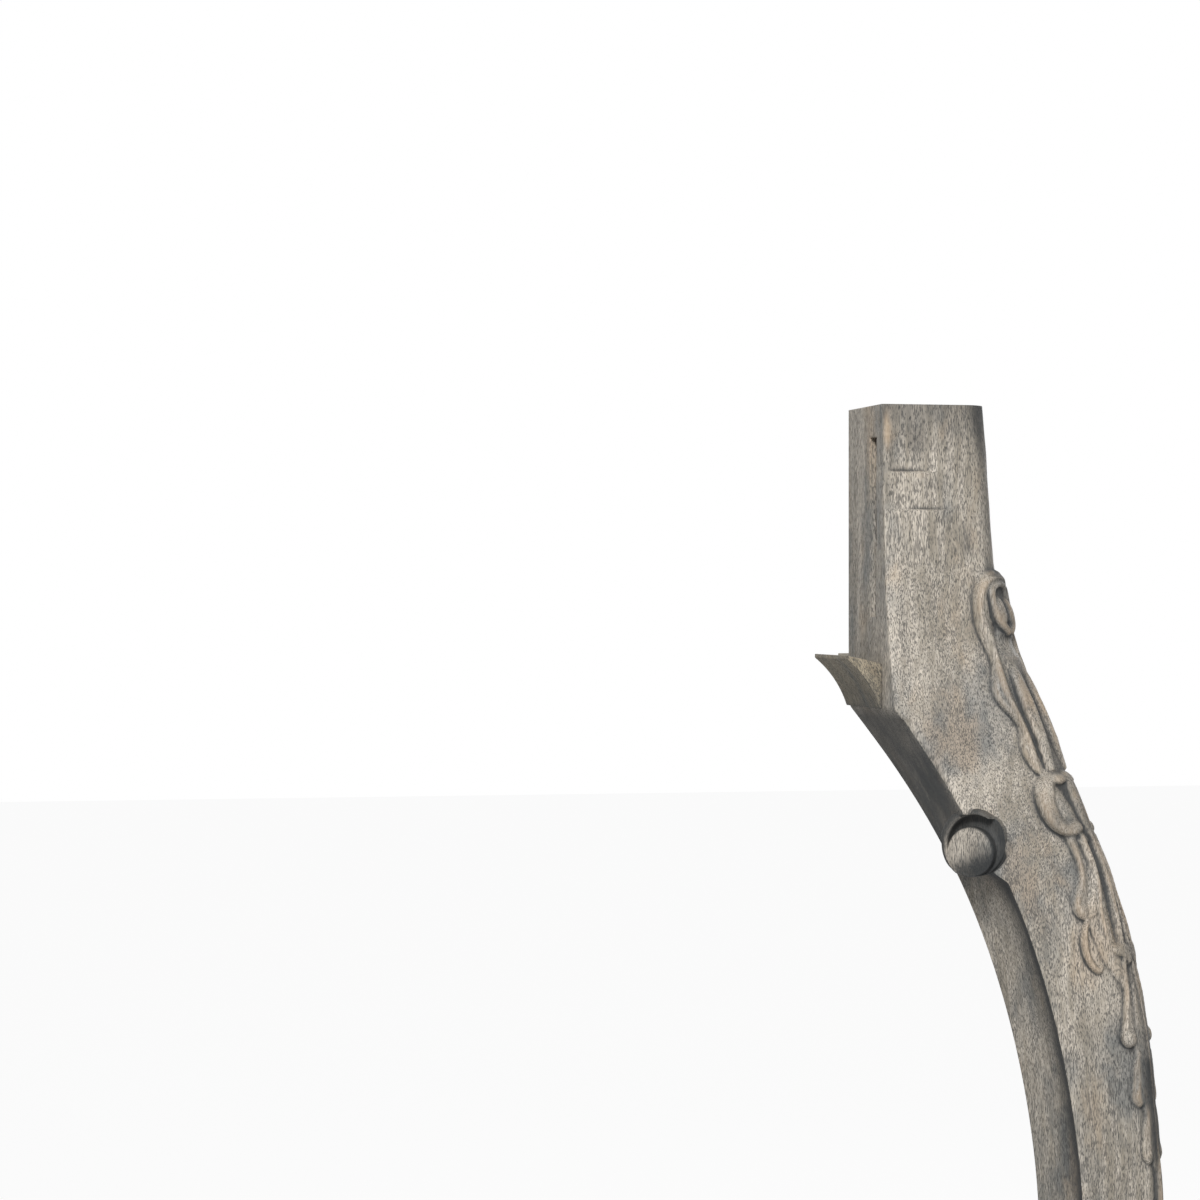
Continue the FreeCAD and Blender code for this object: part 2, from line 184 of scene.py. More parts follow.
def template_line(tree, label, height_share, line_at):
    """A sawing template as a curve of reach over height, both as shares of the billet and leg."""
    node = add_node(tree, "ShaderNodeFloatCurve", {"Value": height_share}, label=label)
    curve = node.mapping.curves[0]
    # The node merges points that are closer than a hundredth of the curve's width.
    heights = np.r_[0, 15, np.linspace(24, POST_FOOT, 72), 610, 632, 650, 670, TOP]
    for height in heights[1:-1]:
        curve.points.new(height / TOP, float(line_at(height)) / BILLET)
    for point in curve.points:
        point.handle_type = "VECTOR"
    curve.points[0].location = (0, float(line_at(0)) / BILLET)
    curve.points[-1].location = (1, float(line_at(TOP)) / BILLET)
    node.mapping.update()
    return calc(tree, "MULTIPLY", node.outputs[0], BILLET / 1000)


wrap = tree_named("Leg blank from template", [
    ("Leg Height", FLOAT, LEG_HEIGHT),
    ("Crest Radius At Foot", FLOAT, 0.008),
    ("Crest Radius At Post", FLOAT, 0.014),
    ("Arris Radius", FLOAT, 0.0026),
    ("Post Arris Radius", FLOAT, 0.0008),
    ("Wood", "NodeSocketMaterial", None)])
given = wrap.nodes.new("NodeGroupInput").outputs
sheet_place = add_node(wrap, "ShaderNodeSeparateXYZ",
                       {0: wrap.nodes.new("GeometryNodeInputPosition").outputs[0]}).outputs
share, up_share = sheet_place["X"], sheet_place["Y"]
height = calc(wrap, "MULTIPLY", up_share, given["Leg Height"])
outer = template_line(wrap, "Outer line", up_share, outer_at)
inner = template_line(wrap, "Inner line", up_share, inner_at)
crest = value_of(wrap, "ShaderNodeMapRange",
                 {"Value": height, 1: 0.015, 2: 0.670, 3: given["Crest Radius At Foot"],
                  4: given["Crest Radius At Post"]})
on_post = value_of(wrap, "ShaderNodeMath", {0: height, 1: POST_FOOT / 1000},
                   operation="GREATER_THAN")
arris = value_of(wrap, "ShaderNodeMix", {0: on_post, 2: given["Arris Radius"],
                                         3: given["Post Arris Radius"]})
thick = calc(wrap, "SUBTRACT", outer, inner)
along_side = value_of(wrap, "ShaderNodeMath", {0: share, 1: 2.0}, operation="MULTIPLY",
                      use_clamp=True)
along_front = value_of(wrap, "ShaderNodeMath", {0: share, 1: 2.0, 2: -1.0},
                       operation="MULTIPLY_ADD", use_clamp=True)
raw_u = calc(wrap, "MULTIPLY_ADD", along_front, thick, inner)
raw_v = calc(wrap, "MULTIPLY_ADD", along_side, thick, inner)
raw = vector_of(wrap, X=raw_u, Y=raw_v)
middle = calc(wrap, "MULTIPLY", calc(wrap, "ADD", outer, inner), 0.5)
at_crest = calc(wrap, "GREATER_THAN", calc(wrap, "MINIMUM", raw_u, raw_v), middle)
radius = value_of(wrap, "ShaderNodeMix", {0: at_crest, 2: arris, 3: crest})
low = calc(wrap, "ADD", inner, radius)
high = calc(wrap, "SUBTRACT", outer, radius)
core = vector_calc(wrap, "MAXIMUM", raw, vector_of(wrap, X=low, Y=low))
core = vector_calc(wrap, "MINIMUM", core, vector_of(wrap, X=high, Y=high))
outwards = value_of(wrap, "ShaderNodeVectorMath", {0: vector_calc(wrap, "SUBTRACT", raw, core)},
                    operation="NORMALIZE")
section = value_of(wrap, "ShaderNodeVectorMath", {0: outwards, "Scale": radius},
                   operation="SCALE")
section = vector_calc(wrap, "ADD", section, core)
placed = vector_calc(wrap, "ADD", section, vector_of(wrap, Z=height))
shape = given["Geometry"]
for label, value in (("outline_share", share), ("outer_line", outer), ("inner_line", inner),
                     ("crest_round", crest)):
    shape = value_of(wrap, "GeometryNodeStoreNamedAttribute",
                     {"Geometry": shape, "Name": label, "Value": value})
shape = value_of(wrap, "GeometryNodeSetPosition",
                 {"Geometry": shape, "Position": placed})
shape = value_of(wrap, "GeometryNodeRealizeInstances", {0: shape})
shape = value_of(wrap, "GeometryNodeSetMaterial", {0: shape, "Material": given["Wood"]})
wrap.links.new(shape, wrap.nodes.new("NodeGroupOutput").inputs[0])


def baked(piece):
    """Leaves what a piece's modifiers make of it as its plain mesh."""
    view = bpy.context.evaluated_depsgraph_get()
    mesh = bpy.data.meshes.new_from_object(piece.evaluated_get(view),
                                           preserve_all_data_layers=True, depsgraph=view)
    piece.modifiers.clear()
    piece.data = mesh


def made_by_tree(piece, tree, **values):
    """Runs a geometry tree on a piece and leaves the result as its plain mesh."""
    work = piece.modifiers.new(tree.name, "NODES")
    work.node_group = tree
    for item in tree.interface.items_tree:
        if item.in_out == "INPUT" and item.name in values:
            work[item.identifier] = values[item.name]
    baked(piece)


# The stained wood of every piece: grain and pores run up the leg, the stain stays dark in pores
# and in what lies deep, painted shade darkens hollows and sides turned from the lamp through the
# same dark tone, and the finish is rubbed back to a warm tone on what stands proud.

def colour(red, green, blue):
    """A colour given in screen values, as the shader's linear values."""
    return tuple(((c / 255 + 0.055) / 1.055) ** 2.4 if c > 10 else c / 3294.6
                 for c in (red, green, blue)) + (1.0,)


def shader_group(name, inputs, outputs):
    group = bpy.data.node_groups.new(name, "ShaderNodeTree")
    for label, kind, value in inputs:
        socket = group.interface.new_socket(label, in_out="INPUT", socket_type=kind)
        if value is not None:
            socket.default_value = value
    for label, kind in outputs:
        group.interface.new_socket(label, in_out="OUTPUT", socket_type=kind)
    return group


def stretched_noise(tree, place, across, along, detail=2.0, roughness=0.5, twist=0.0):
    """Noise drawn out along the grain; across and along are repeats per metre."""
    scaled = vector_calc(tree, "MULTIPLY", place, (across, across, along))
    return value_of(tree, "ShaderNodeTexNoise",
                    {"Vector": scaled, "Scale": 1.0, "Detail": detail, "Roughness": roughness,
                     "Distortion": twist})


def ramp(tree, value, low, high, to_low=0.0, to_high=1.0):
    return value_of(tree, "ShaderNodeMapRange",
                    {"Value": value, 1: low, 2: high, 3: to_low, 4: to_high},
                    interpolation_type="SMOOTHSTEP")


grain = shader_group("Wood grain and pores", [
    ("Place", "NodeSocketVector", None), ("Pore Cover", FLOAT, 0.5)],
    [("Figure", FLOAT), ("Pores", FLOAT), ("Height", FLOAT)])
inside = grain.nodes.new("NodeGroupInput").outputs
place = inside["Place"]
waver = add_node(grain, "ShaderNodeTexNoise", {"Vector": place, "Scale": 14.0, "Detail": 1.0})
bent = value_of(grain, "ShaderNodeVectorMath", {0: waver.outputs["Color"], 1: (0.006, 0.006, 0.0),
                                                2: place}, operation="MULTIPLY_ADD")
ticks = stretched_noise(grain, bent, 2500.0, 380.0, 1.5)
long_ticks = stretched_noise(grain, bent, 1400.0, 150.0, 2.0, 0.6)
streaks = stretched_noise(grain, bent, 300.0, 26.0, 4.0, 0.65)
figure = stretched_noise(grain, bent, 60.0, 5.0, 3.0, 0.55, 0.6)
cover = add_node(grain, "ShaderNodeMapRange", {"Value": inside["Pore Cover"], 3: 0.62, 4: 0.36})
tick_edge = calc(grain, "ADD", cover.outputs[0],
                   calc(grain, "MULTIPLY", calc(grain, "SUBTRACT", 0.5, streaks), 0.35))
tick_mask = ramp(grain, calc(grain, "SUBTRACT", ticks, tick_edge), -0.02, 0.14)
long_mask = ramp(grain, calc(grain, "SUBTRACT", long_ticks, tick_edge), 0.02, 0.18)
pores = calc(grain, "MAXIMUM", tick_mask, calc(grain, "MULTIPLY", long_mask, 0.8))
tone = calc(grain, "MULTIPLY_ADD", streaks, 0.55, calc(grain, "MULTIPLY", figure, 0.45))
relief = calc(grain, "SUBTRACT", calc(grain, "MULTIPLY", streaks, 0.5), pores)
out = grain.nodes.new("NodeGroupOutput")
for label, value in (("Figure", tone), ("Pores", pores), ("Height", relief)):
    grain.links.new(value, out.inputs[label])

stain = shader_group("Rubbed stain and painted shade", [
    ("Place", "NodeSocketVector", None), ("Figure", FLOAT, 0.5),
    ("Pores", FLOAT, 0.0), ("Stain And Shade", FLOAT, 0.0),
    ("Wear", FLOAT, 0.0), ("Pale", TINT, None),
    ("Middle", TINT, None), ("Cool", TINT, None),
    ("Deep", TINT, None), ("Rubbed", TINT, None)],
    [("Colour", TINT), ("Stain Pores And Shade", FLOAT)])
inside = stain.nodes.new("NodeGroupInput").outputs
place = inside["Place"]


def blended(tree, amount, first, second):
    return add_node(tree, "ShaderNodeMix", {0: amount, 6: first, 7: second},
                    data_type="RGBA").outputs[2]


figure_mix = ramp(stain, inside["Figure"], 0.38, 0.60)
patches = stretched_noise(stain, place, 24.0, 13.0, 4.0, 0.6)
small_patches = stretched_noise(stain, place, 95.0, 40.0, 3.0, 0.6)
cool_mix = calc(stain, "MULTIPLY", ramp(stain, calc(
    stain, "MULTIPLY_ADD", small_patches, 0.35, patches), 0.62, 0.86), 0.75)
warm_mix = calc(stain, "MULTIPLY", ramp(stain, stretched_noise(
    stain, place, 38.0, 20.0, 3.0, 0.6, 0.3), 0.52, 0.70), 0.45)
shade = blended(stain, figure_mix, inside["Middle"], inside["Pale"])
shade = blended(stain, cool_mix, shade, inside["Cool"])
shade = blended(stain, warm_mix, shade, inside["Rubbed"])
shade = blended(stain, calc(stain, "MULTIPLY", inside["Pores"], 0.74), shade, inside["Deep"])
rough_edge = calc(stain, "MULTIPLY_ADD", small_patches, 0.5, -0.25)
# Painted shade and stain: the stain-and-shade mark pulls the colour towards the deep tone.
stain_and_shade_mix = ramp(stain, calc(stain, "ADD", inside["Stain And Shade"], calc(
    stain, "MULTIPLY", rough_edge, inside["Stain And Shade"])), 0.02, 1.15)
stain_and_shade_mix = calc(stain, "MULTIPLY", stain_and_shade_mix, 0.93)
shade = blended(stain, stain_and_shade_mix, shade, inside["Deep"])
worn = calc(stain, "MULTIPLY", inside["Wear"], ramp(stain, small_patches, 0.35, 0.62))
shade = blended(stain, worn, shade, inside["Rubbed"])
out = stain.nodes.new("NodeGroupOutput")
stain.links.new(shade, out.inputs["Colour"])
stain.links.new(calc(stain, "MAXIMUM", stain_and_shade_mix, inside["Pores"]), out.inputs["Stain Pores And Shade"])


def stained_wood(name, pale, middle, cool, deep, rubbed, cover=0.5, turn=None):
    """A finish of the same wood: five tones, how many pores show, and how the grain is turned."""
    wood = bpy.data.materials.new(name)
    wood.use_nodes = True
    tree = wood.node_tree
    tree.nodes.clear()
    place = add_node(tree, "ShaderNodeTexCoord").outputs["Object"]
    if turn is not None:
        place = value_of(tree, "ShaderNodeMapping", {"Vector": place, "Rotation": turn})
    marks = [add_node(tree, "ShaderNodeAttribute", attribute_name=label).outputs["Fac"]
             for label in ("stain_and_painted_shade", "wear")]
    figure = add_node(tree, "ShaderNodeGroup", node_tree=grain)
    tree.links.new(place, figure.inputs["Place"])
    figure.inputs["Pore Cover"].default_value = cover
    tint = add_node(tree, "ShaderNodeGroup", node_tree=stain)
    tree.links.new(place, tint.inputs["Place"])
    for label in ("Figure", "Pores"):
        tree.links.new(figure.outputs[label], tint.inputs[label])
    tree.links.new(marks[0], tint.inputs["Stain And Shade"])
    tree.links.new(marks[1], tint.inputs["Wear"])
    for label, value in (("Pale", pale), ("Middle", middle), ("Cool", cool), ("Deep", deep),
                         ("Rubbed", rubbed)):
        tint.inputs[label].default_value = value
    dent = add_node(tree, "ShaderNodeBump", {"Strength": 0.35, "Distance": 0.0004,
                                             "Height": figure.outputs["Height"]})
    skin = add_node(tree, "ShaderNodeBsdfPrincipled", {
        "Base Color": tint.outputs["Colour"], "Normal": dent.outputs[0],
        "Roughness": ramp(tree, tint.outputs["Stain Pores And Shade"], 0.0, 1.0, 0.47, 0.66)})
    skin.inputs["Specular IOR Level"].default_value = 0.42
    end = tree.nodes.new("ShaderNodeOutputMaterial")
    tree.links.new(skin.outputs[0], end.inputs[0])
    return wood


carved_wood = stained_wood("stained_carved_wood", colour(208, 198, 184), colour(148, 140, 127),
                           colour(108, 111, 111), colour(38, 41, 43), colour(190, 168, 142))
end_grain = stained_wood("sawn_end_grain", colour(150, 138, 118), colour(112, 102, 88),
                         colour(92, 92, 90), colour(44, 44, 44), colour(150, 120, 90), 0.8)

leg = flat_sheet("carved_leg", column_marks, row_marks)
made_by_tree(leg, wrap, Wood=carved_wood)
half = leg.data
count = len(half.vertices)
flat = np.empty(count * 3, np.float32)
half.vertices.foreach_get("co", flat)
ROWS, COLUMNS = len(row_marks), len(column_marks)
blank = flat.reshape(ROWS, COLUMNS, 3).astype(float) * 1000


def stored(label):
    values = np.empty(count, np.float32)
    half.attributes[label].data.foreach_get("value", values)
    return values.reshape(ROWS, COLUMNS).astype(float)


share_of = stored("outline_share")
outer_of, inner_of = stored("outer_line") * 1000, stored("inner_line") * 1000
crest_of = stored("crest_round") * 1000
u, v, z = blank[..., 0], blank[..., 1], blank[..., 2]


def eased(value, start, end):
    part = np.clip((value - start) / (end - start), 0, 1)
    return part * part * (3 - 2 * part)


# Cove under the scroll: the inner side sinks behind a ridge that has moved in from the arris.
COVE_TOP, COVE_END = 521.0, 112.0
COVE_RIDGE, COVE_HOLLOW, COVE_BACK = 5.5, 6.0, 1.5
cove_part = eased(z, COVE_TOP + 1.5, COVE_TOP - 7) * eased(z, COVE_END, COVE_END + 150)
ridge_u = inner_of + COVE_RIDGE * cove_part
front_side = share_of >= 0.5
slide = np.clip((outer_of - crest_of - u) / np.maximum(outer_of - crest_of - inner_of, 1), 0, 1)
u = np.where(front_side, u + COVE_RIDGE * cove_part * slide, u)
side_share = np.clip(share_of * 2, 0, 1)
chord_v = inner_of + COVE_BACK + (outer_of - inner_of - COVE_BACK) * side_share
sag = COVE_HOLLOW * cove_part * (1 - (2 * side_share - 1) ** 2) * (0.62 + 0.76 * side_share)
chord = np.hypot(COVE_RIDGE * cove_part, outer_of - inner_of)
cove_u = inner_of + COVE_RIDGE * cove_part * side_share + sag * (outer_of - inner_of) / chord
cove_v = chord_v - sag * COVE_RIDGE * cove_part / chord
hollowed = cove_part * ~front_side
u, v = u + (cove_u - u) * hollowed, v + (cove_v - v) * hollowed
u = np.where(front_side, np.maximum(u, ridge_u * (cove_part > 0.5)), u)
# Painted shade and stain in the cove, darkest beside the ridge where its wall turns from the lamp,
# and a painted dark band on the inner side at the scroll's height.
stain_and_painted_shade = cove_part * ~front_side * (0.18 + 0.9 * eased(side_share, 0.25, 1.0))
stain_and_painted_shade = stain_and_painted_shade + 0.85 * ~front_side * eased(z, 606, 592) * eased(z, 500, 530)
stain_and_painted_shade = stain_and_painted_shade + 0.55 * cove_part * ~front_side * eased(side_share, 0.62, 0.95)

# Leaf on the crest, drawn as outlines of (inset from the outer line, height above the floor).
CHART_STEP = 0.25
CHART_LOW, CHART_HIGH, CHART_LEFT, CHART_RIGHT = 350.0, 672.0, -6.0, 36.0
chart_s = np.arange(CHART_LEFT, CHART_RIGHT, CHART_STEP)
chart_z = np.arange(CHART_LOW, CHART_HIGH, CHART_STEP)
chart = np.zeros((len(chart_z), len(chart_s)))


def on_chart(inset, height):
    """Distance from the crest's middle along the surface, for an inset seen from the front."""
    r = crest_radius_at(height)
    turned = np.arccos(np.clip(1 - inset / r, -1, 1)) - math.pi / 4
    return np.where(inset < r, r * turned, r * math.pi / 4 + inset - r)


def charted(points, closed=False, count=140):
    rows = [(float(on_chart(p[0], p[1])),) + tuple(p[1:]) for p in points]
    if closed:
        rows = rows[-2:] + rows + rows[:3]
        line = smooth_line(rows, count + 60)
        first = np.argmin(np.hypot(line[:, 0] - rows[2][0], line[:, 1] - rows[2][1]))
        last = len(rows) - 3
        tail = line[first + 10:]
        close = np.argmin(np.hypot(tail[:, 0] - rows[last][0], tail[:, 1] - rows[last][1]))
        return line[first:first + 10 + close]
    return smooth_line(rows, count)


def window(line, margin):
    low_s, high_s = line[:, 0].min() - margin, line[:, 0].max() + margin
    low_z, high_z = line[:, 1].min() - margin, line[:, 1].max() + margin
    a = slice(max(0, int((low_z - CHART_LOW) / CHART_STEP)),
              max(1, int((high_z - CHART_LOW) / CHART_STEP) + 1))
    b = slice(max(0, int((low_s - CHART_LEFT) / CHART_STEP)),
              max(1, int((high_s - CHART_LEFT) / CHART_STEP) + 1))
    return (a, b), *np.meshgrid(chart_s[b], chart_z[a])


def to_line(s, h, line):
    """Distance to a drawn line, and the share along it of the nearest place."""
    best = np.full(s.shape, 1e9)
    along = np.zeros(s.shape)
    total = len(line) - 1
    for k in range(total):
        (x0, y0), (x1, y1) = line[k, :2], line[k + 1, :2]
        dx, dy = x1 - x0, y1 - y0
        t = np.clip(((s - x0) * dx + (h - y0) * dy) / max(dx * dx + dy * dy, 1e-9), 0, 1)
        d = np.hypot(s - x0 - t * dx, h - y0 - t * dy)
        nearer = d < best
        best = np.where(nearer, d, best)
        along = np.where(nearer, (k + t) / total, along)
    return best, along


def within(s, h, line):
    inside = np.zeros(s.shape, bool)
    for (x0, y0), (x1, y1) in zip(line[:, :2], np.roll(line[:, :2], -1, axis=0)):
        crossing = (y0 > h) != (y1 > h)
        inside ^= crossing & (s < (x1 - x0) * (h - y0) / (y1 - y0 + 1e-12) + x0)
    return inside


def pillow(points, height, shoulder, foot=0.0):
    """Leaves an outlined form standing, rounded over its shoulder."""
    line = charted(points, closed=True)
    part, s, h = window(line, 2)
    depth, _ = to_line(s, h, np.vstack([line, line[:1]]))
    depth = np.where(within(s, h, line), depth, -depth)
    rise = 1 - np.clip(1 - (depth + 0.25) / shoulder, 0, 1) ** 2.2
    chart[part] = np.maximum(chart[part], np.where(depth > -0.25, foot + (height - foot) * rise, 0))


def stroke(points):
    """A line of (inset, height, half width, relief): its part, share of width and relief."""
    line = charted(points, count=60)
    part, s, h = window(line, line[:, 2].max() + 1)
    away, along = to_line(s, h, line)
    spots = np.linspace(0, 1, len(line))
    wide = np.interp(along, spots, line[:, 2])
    return part, away / np.maximum(wide, 0.2), np.interp(along, spots, line[:, 3])


def roll(points, sharp=2.2):
    """Leaves a rounded rib standing along a stroke."""
    part, away, tall = stroke(points)
    rise = np.clip(1 - away ** sharp, 0, 1) ** 0.75
    chart[part] = np.maximum(chart[part], tall * rise)


def gouge(points, floor=0.2, sharp=1.6):
    """Cuts a channel along a stroke."""
    part, away, deep = stroke(points)
    cut = deep * np.clip(1 - away ** sharp, 0, 1)
    chart[part] = np.where(cut > 0, np.maximum(chart[part] - cut, np.minimum(chart[part], floor)),
                           chart[part])


def oval(inset, height, half_wide, half_tall, lean):
    s0 = float(on_chart(inset, height))
    line = np.array([[s0 - half_tall, height - half_tall], [s0 + half_tall, height + half_tall]])
    part, s, h = window(line, 1)
    across = (s - s0) + lean * (h - height)
    return part, np.hypot(across / half_wide, (h - height) / half_tall)


def dome(inset, height, half_wide, half_tall, top, foot=0.0, lean=0.0):
    """Leaves an oval swelling standing."""
    part, away = oval(inset, height, half_wide, half_tall, lean)
    chart[part] = np.maximum(chart[part],
                             np.where(away < 1, foot + (top - foot) * (1 - away ** 2.4) ** 0.6, 0))


def dish(inset, height, half_wide, half_tall, bottom, lean=0.0):
    """Hollows an oval bowl."""
    part, away = oval(inset, height, half_wide, half_tall, lean)
    bowl = bottom + (chart[part] - bottom) * np.clip(away, 0, 1) ** 3
    chart[part] = np.minimum(chart[part], bowl)


LEAF_EDGE = [(9, 667), (16.5, 656), (17.5, 640), (16.5, 622), (18, 606), (15, 590), (15.5, 570),
             (22, 552), (19, 538), (14.5, 528), (16, 512), (21, 500), (20, 486), (17, 474),
             (11, 462), (12, 446), (10.5, 430), (10.5, 412), (8, 398), (7.5, 384), (4.5, 372),
             (3, 357.5)]
edge_line = charted(LEAF_EDGE, count=160)
part, s, h = window(np.vstack([edge_line[:, :2], [(-6, 357), (-6, 667)]]), 1)
depth, _ = to_line(s, h, edge_line)
reach = np.interp(h, edge_line[::-1, 1], edge_line[::-1, 0], left=-99, right=-99)
chart[part] = np.where(s < reach, 1.7 * (1 - np.clip(1 - depth / 2.0, 0, 1) ** 2), 0)

# upper curl, its ribbon and the two small lobes that bud from it
pillow([(4, 666.5), (11, 665.5), (17, 658.5), (20.0, 647), (20.3, 637), (18.6, 628), (19.0, 618),
        (22.4, 607), (20.4, 598.5), (18.2, 595), (16.9, 588.5), (19.5, 580.5), (19.6, 573),
        (16.2, 566.8), (13.0, 572), (10.5, 585), (11, 600), (12, 614), (11.5, 628), (12.5, 640),
        (11, 652), (7.5, 660.5), (4, 661)], 3.0, 2.4, 0.6)
roll([(3, 664.5, 2.2, 3.6), (11.0, 661.5, 2.6, 4.3), (15.2, 653.5, 3.0, 4.6),
      (16.6, 645, 3.2, 4.6), (15.8, 637, 3.0, 4.4), (14.6, 630.5, 3.2, 4.4),
      (15.4, 618, 3.4, 4.6), (16.2, 606, 3.4, 4.7), (14.9, 598, 3.0, 4.4),
      (13.7, 590, 2.8, 4.2), (14.8, 580, 3.0, 4.3), (15.8, 571, 1.8, 3.4), (15.8, 567, 0.8, 2.4)])
roll([(7.0, 622, 2.4, 1.8), (7.6, 612, 4.2, 4.2), (8.0, 600, 5.0, 5.6), (8.4, 589, 5.0, 5.6),
      (9.0, 579, 4.4, 5.0), (9.6, 570, 2.8, 4.0)], 2.0)
gouge([(11.6, 640, 1.0, 1.6), (12.6, 626, 1.9, 3.6), (12.4, 612, 1.9, 3.9), (12.6, 600, 1.6, 3.6),
       (12.0, 588, 1.6, 3.2), (12.6, 577, 1.5, 2.6), (13.0, 569, 0.9, 1.2)], 1.0, 1.6)
gouge([(4.0, 612, 1.4, 1.2), (4.2, 600, 2.2, 2.6), (4.6, 588, 2.2, 2.6), (5.2, 576, 1.4, 1.6)], 1.6)
gouge([(8.2, 606, 0.7, 0.6), (8.8, 596, 1.1, 1.1), (9.0, 586, 0.8, 0.8)], 1.0)
dish(6.6, 629.5, 6.4, 6.0, 0.0)
dish(9.4, 655.0, 2.7, 4.6, 0.0, 0.2)
roll([(3.0, 661, 2.4, 3.4), (8.6, 658.5, 2.6, 4.4), (9.6, 650, 2.4, 4.6), (8.4, 642, 2.8, 4.9),
      (5.0, 637, 2.6, 4.0)], 2.4)
dome(7.2, 646.0, 3.8, 8.4, 5.3, 1.2, 0.1)
dish(4.0, 650.0, 2.2, 6.0, 2.2)
# volute
pillow([(11.5, 566.3), (15.5, 565.6), (20.6, 559.5), (24.4, 551), (24.8, 542.6), (21.8, 536.8),
        (16.5, 535.0), (10, 536), (5, 540), (3.5, 552), (6, 562)], 4.6, 5.0, 1.4)
roll([(7, 564.8, 3.0, 4.4), (13.5, 562.6, 4.0, 4.8), (18.4, 556.0, 5.0, 5.2),
      (19.8, 548.5, 5.2, 5.6), (18.6, 542.5, 4.6, 5.4), (14.4, 540.2, 4.0, 4.8),
      (9.5, 541.5, 3.4, 4.2)], 2.8)
dish(9.6, 557.2, 3.6, 6.6, 0.6, -0.25)
dish(10.2, 552.0, 2.6, 9.5, 2.4, -0.2)
roll([(4.6, 566, 3.0, 4.6), (4.6, 556, 3.0, 4.8), (4.8, 546, 2.8, 4.0), (4.6, 538, 2.4, 3.6)])
# long lobe with its spoon end
pillow([(15.6, 536.5), (16.3, 526.5), (19.3, 515.8), (25.4, 505.5), (26.2, 499.8), (22.6, 496.6),
        (15.8, 499.0), (11.0, 505), (8.5, 520), (9.0, 535)], 2.6, 2.0, 0.5)
roll([(15.2, 535, 1.3, 3.0), (14.9, 525, 1.5, 3.2), (17.4, 515.5, 1.6, 3.2),
      (22.4, 507, 1.8, 3.3), (24.0, 501.5, 1.9, 3.6), (20.6, 498.8, 1.8, 3.4),
      (15.8, 500.4, 1.2, 2.4)])
dome(22.4, 501.5, 3.3, 3.4, 4.3, 1.5, 0.1)
gouge([(12.2, 535, 1.3, 1.6), (12.4, 524, 1.9, 2.2), (14.6, 513, 2.2, 2.3), (18.4, 505, 1.8, 1.6)],
      0.3)
roll([(8.9, 537, 1.8, 3.6), (9.0, 524, 1.9, 3.7), (10.6, 512, 1.9, 3.6), (12.9, 502, 1.9, 3.4),
      (13.5, 492, 1.8, 3.2), (12.6, 482.5, 1.2, 2.6), (10.4, 479, 0.7, 1.6)], 1.5)
gouge([(10.9, 532, 0.5, 0.8), (10.9, 520, 0.6, 1.0), (12.6, 508, 0.6, 1.0), (15.0, 501, 0.4, 0.6)])
gouge([(6.6, 533, 1.0, 1.8), (6.6, 520, 1.3, 2.4), (8.1, 506, 1.4, 2.4), (9.4, 492, 1.4, 2.2),
       (9.6, 484, 0.9, 1.2)], 0.2)
roll([(4.4, 537, 1.6, 3.6), (4.4, 520, 1.7, 3.8), (5.4, 504, 1.7, 3.7), (6.8, 488, 1.6, 3.4),
      (8.4, 474, 1.4, 3.0)], 1.5)
# hook
pillow([(20, 499), (24.2, 494), (27.4, 485.5), (28.3, 478), (25.0, 472.4), (20.8, 470.1),
        (18.7, 474.5), (20.6, 479), (20.4, 487), (17.5, 494)], 2.4, 1.6, 0.5)
roll([(21.4, 496, 1.3, 2.6), (24.6, 489.5, 1.7, 3.4), (26.0, 482, 1.9, 3.6),
      (24.9, 476, 1.9, 3.6), (21.6, 472.6, 1.7, 3.2), (19.6, 474, 1.0, 2.2)])
# long drop, middle drop and short drop
pillow([(8.2, 479), (11.2, 470), (14.4, 457), (17.2, 444), (16.6, 437), (12.6, 434.4),
        (9.4, 437), (9.0, 450), (7.6, 464)], 2.3, 1.4, 0.3)
pillow([(8.0, 434), (11.5, 428), (14.0, 416), (14.2, 409.4), (10.6, 406.6), (8.6, 410),
        (8.2, 422)], 2.0, 1.2, 0.3)
pillow([(6.2, 406), (8.8, 400), (10.6, 388), (10.4, 381.4), (7.6, 379.2), (6.2, 384)],
       1.8, 1.1, 0.3)
gouge([(11.6, 470, 0.6, 0.9), (13.8, 457, 0.9, 1.2), (15.6, 446, 0.9, 1.0)], 0.2)
roll([(8.6, 476, 1.2, 2.8), (9.2, 468, 1.3, 3.0), (10.6, 458, 1.4, 3.2), (12.2, 450, 1.7, 3.4),
      (13.2, 444, 2.6, 3.6)], 1.6)
dome(12.8, 440.2, 3.9, 4.9, 4.3, 0.8, 0.05)
gouge([(6.2, 474, 1.0, 1.3), (7.2, 462, 1.2, 1.6), (8.6, 450, 1.2, 1.6), (8.9, 440, 0.9, 1.2)], 0.2)
roll([(9.0, 433, 1.0, 2.2), (10.2, 424, 1.2, 2.5), (10.9, 416, 1.5, 2.8), (11.4, 410.5, 2.2, 3.2),
      (10.2, 408.6, 1.2, 2.6)])
roll([(7.0, 405.5, 0.9, 2.0), (7.6, 396, 1.1, 2.3), (8.0, 387, 1.3, 2.5), (8.2, 382.5, 1.7, 2.8),
      (7.6, 380.8, 0.9, 2.2)])
# small leaf tip beside the long drop, and the strip that ends the leaf on the crest
pillow([(13.2, 482.5), (10.4, 484.5), (6.5, 486), (3.5, 480), (5.6, 475.2), (8.5, 478.5),
        (11.0, 479.6)], 3.4, 1.8, 0.5)
roll([(3.2, 530, 2.0, 3.8), (3.2, 505, 2.2, 3.9), (3.0, 480, 2.4, 3.4), (2.8, 450, 2.4, 3.0),
      (2.7, 420, 2.2, 2.9), (2.6, 390, 2.4, 2.9), (2.6, 366, 3.2, 3.4), (2.6, 358.5, 3.2, 3.4)])


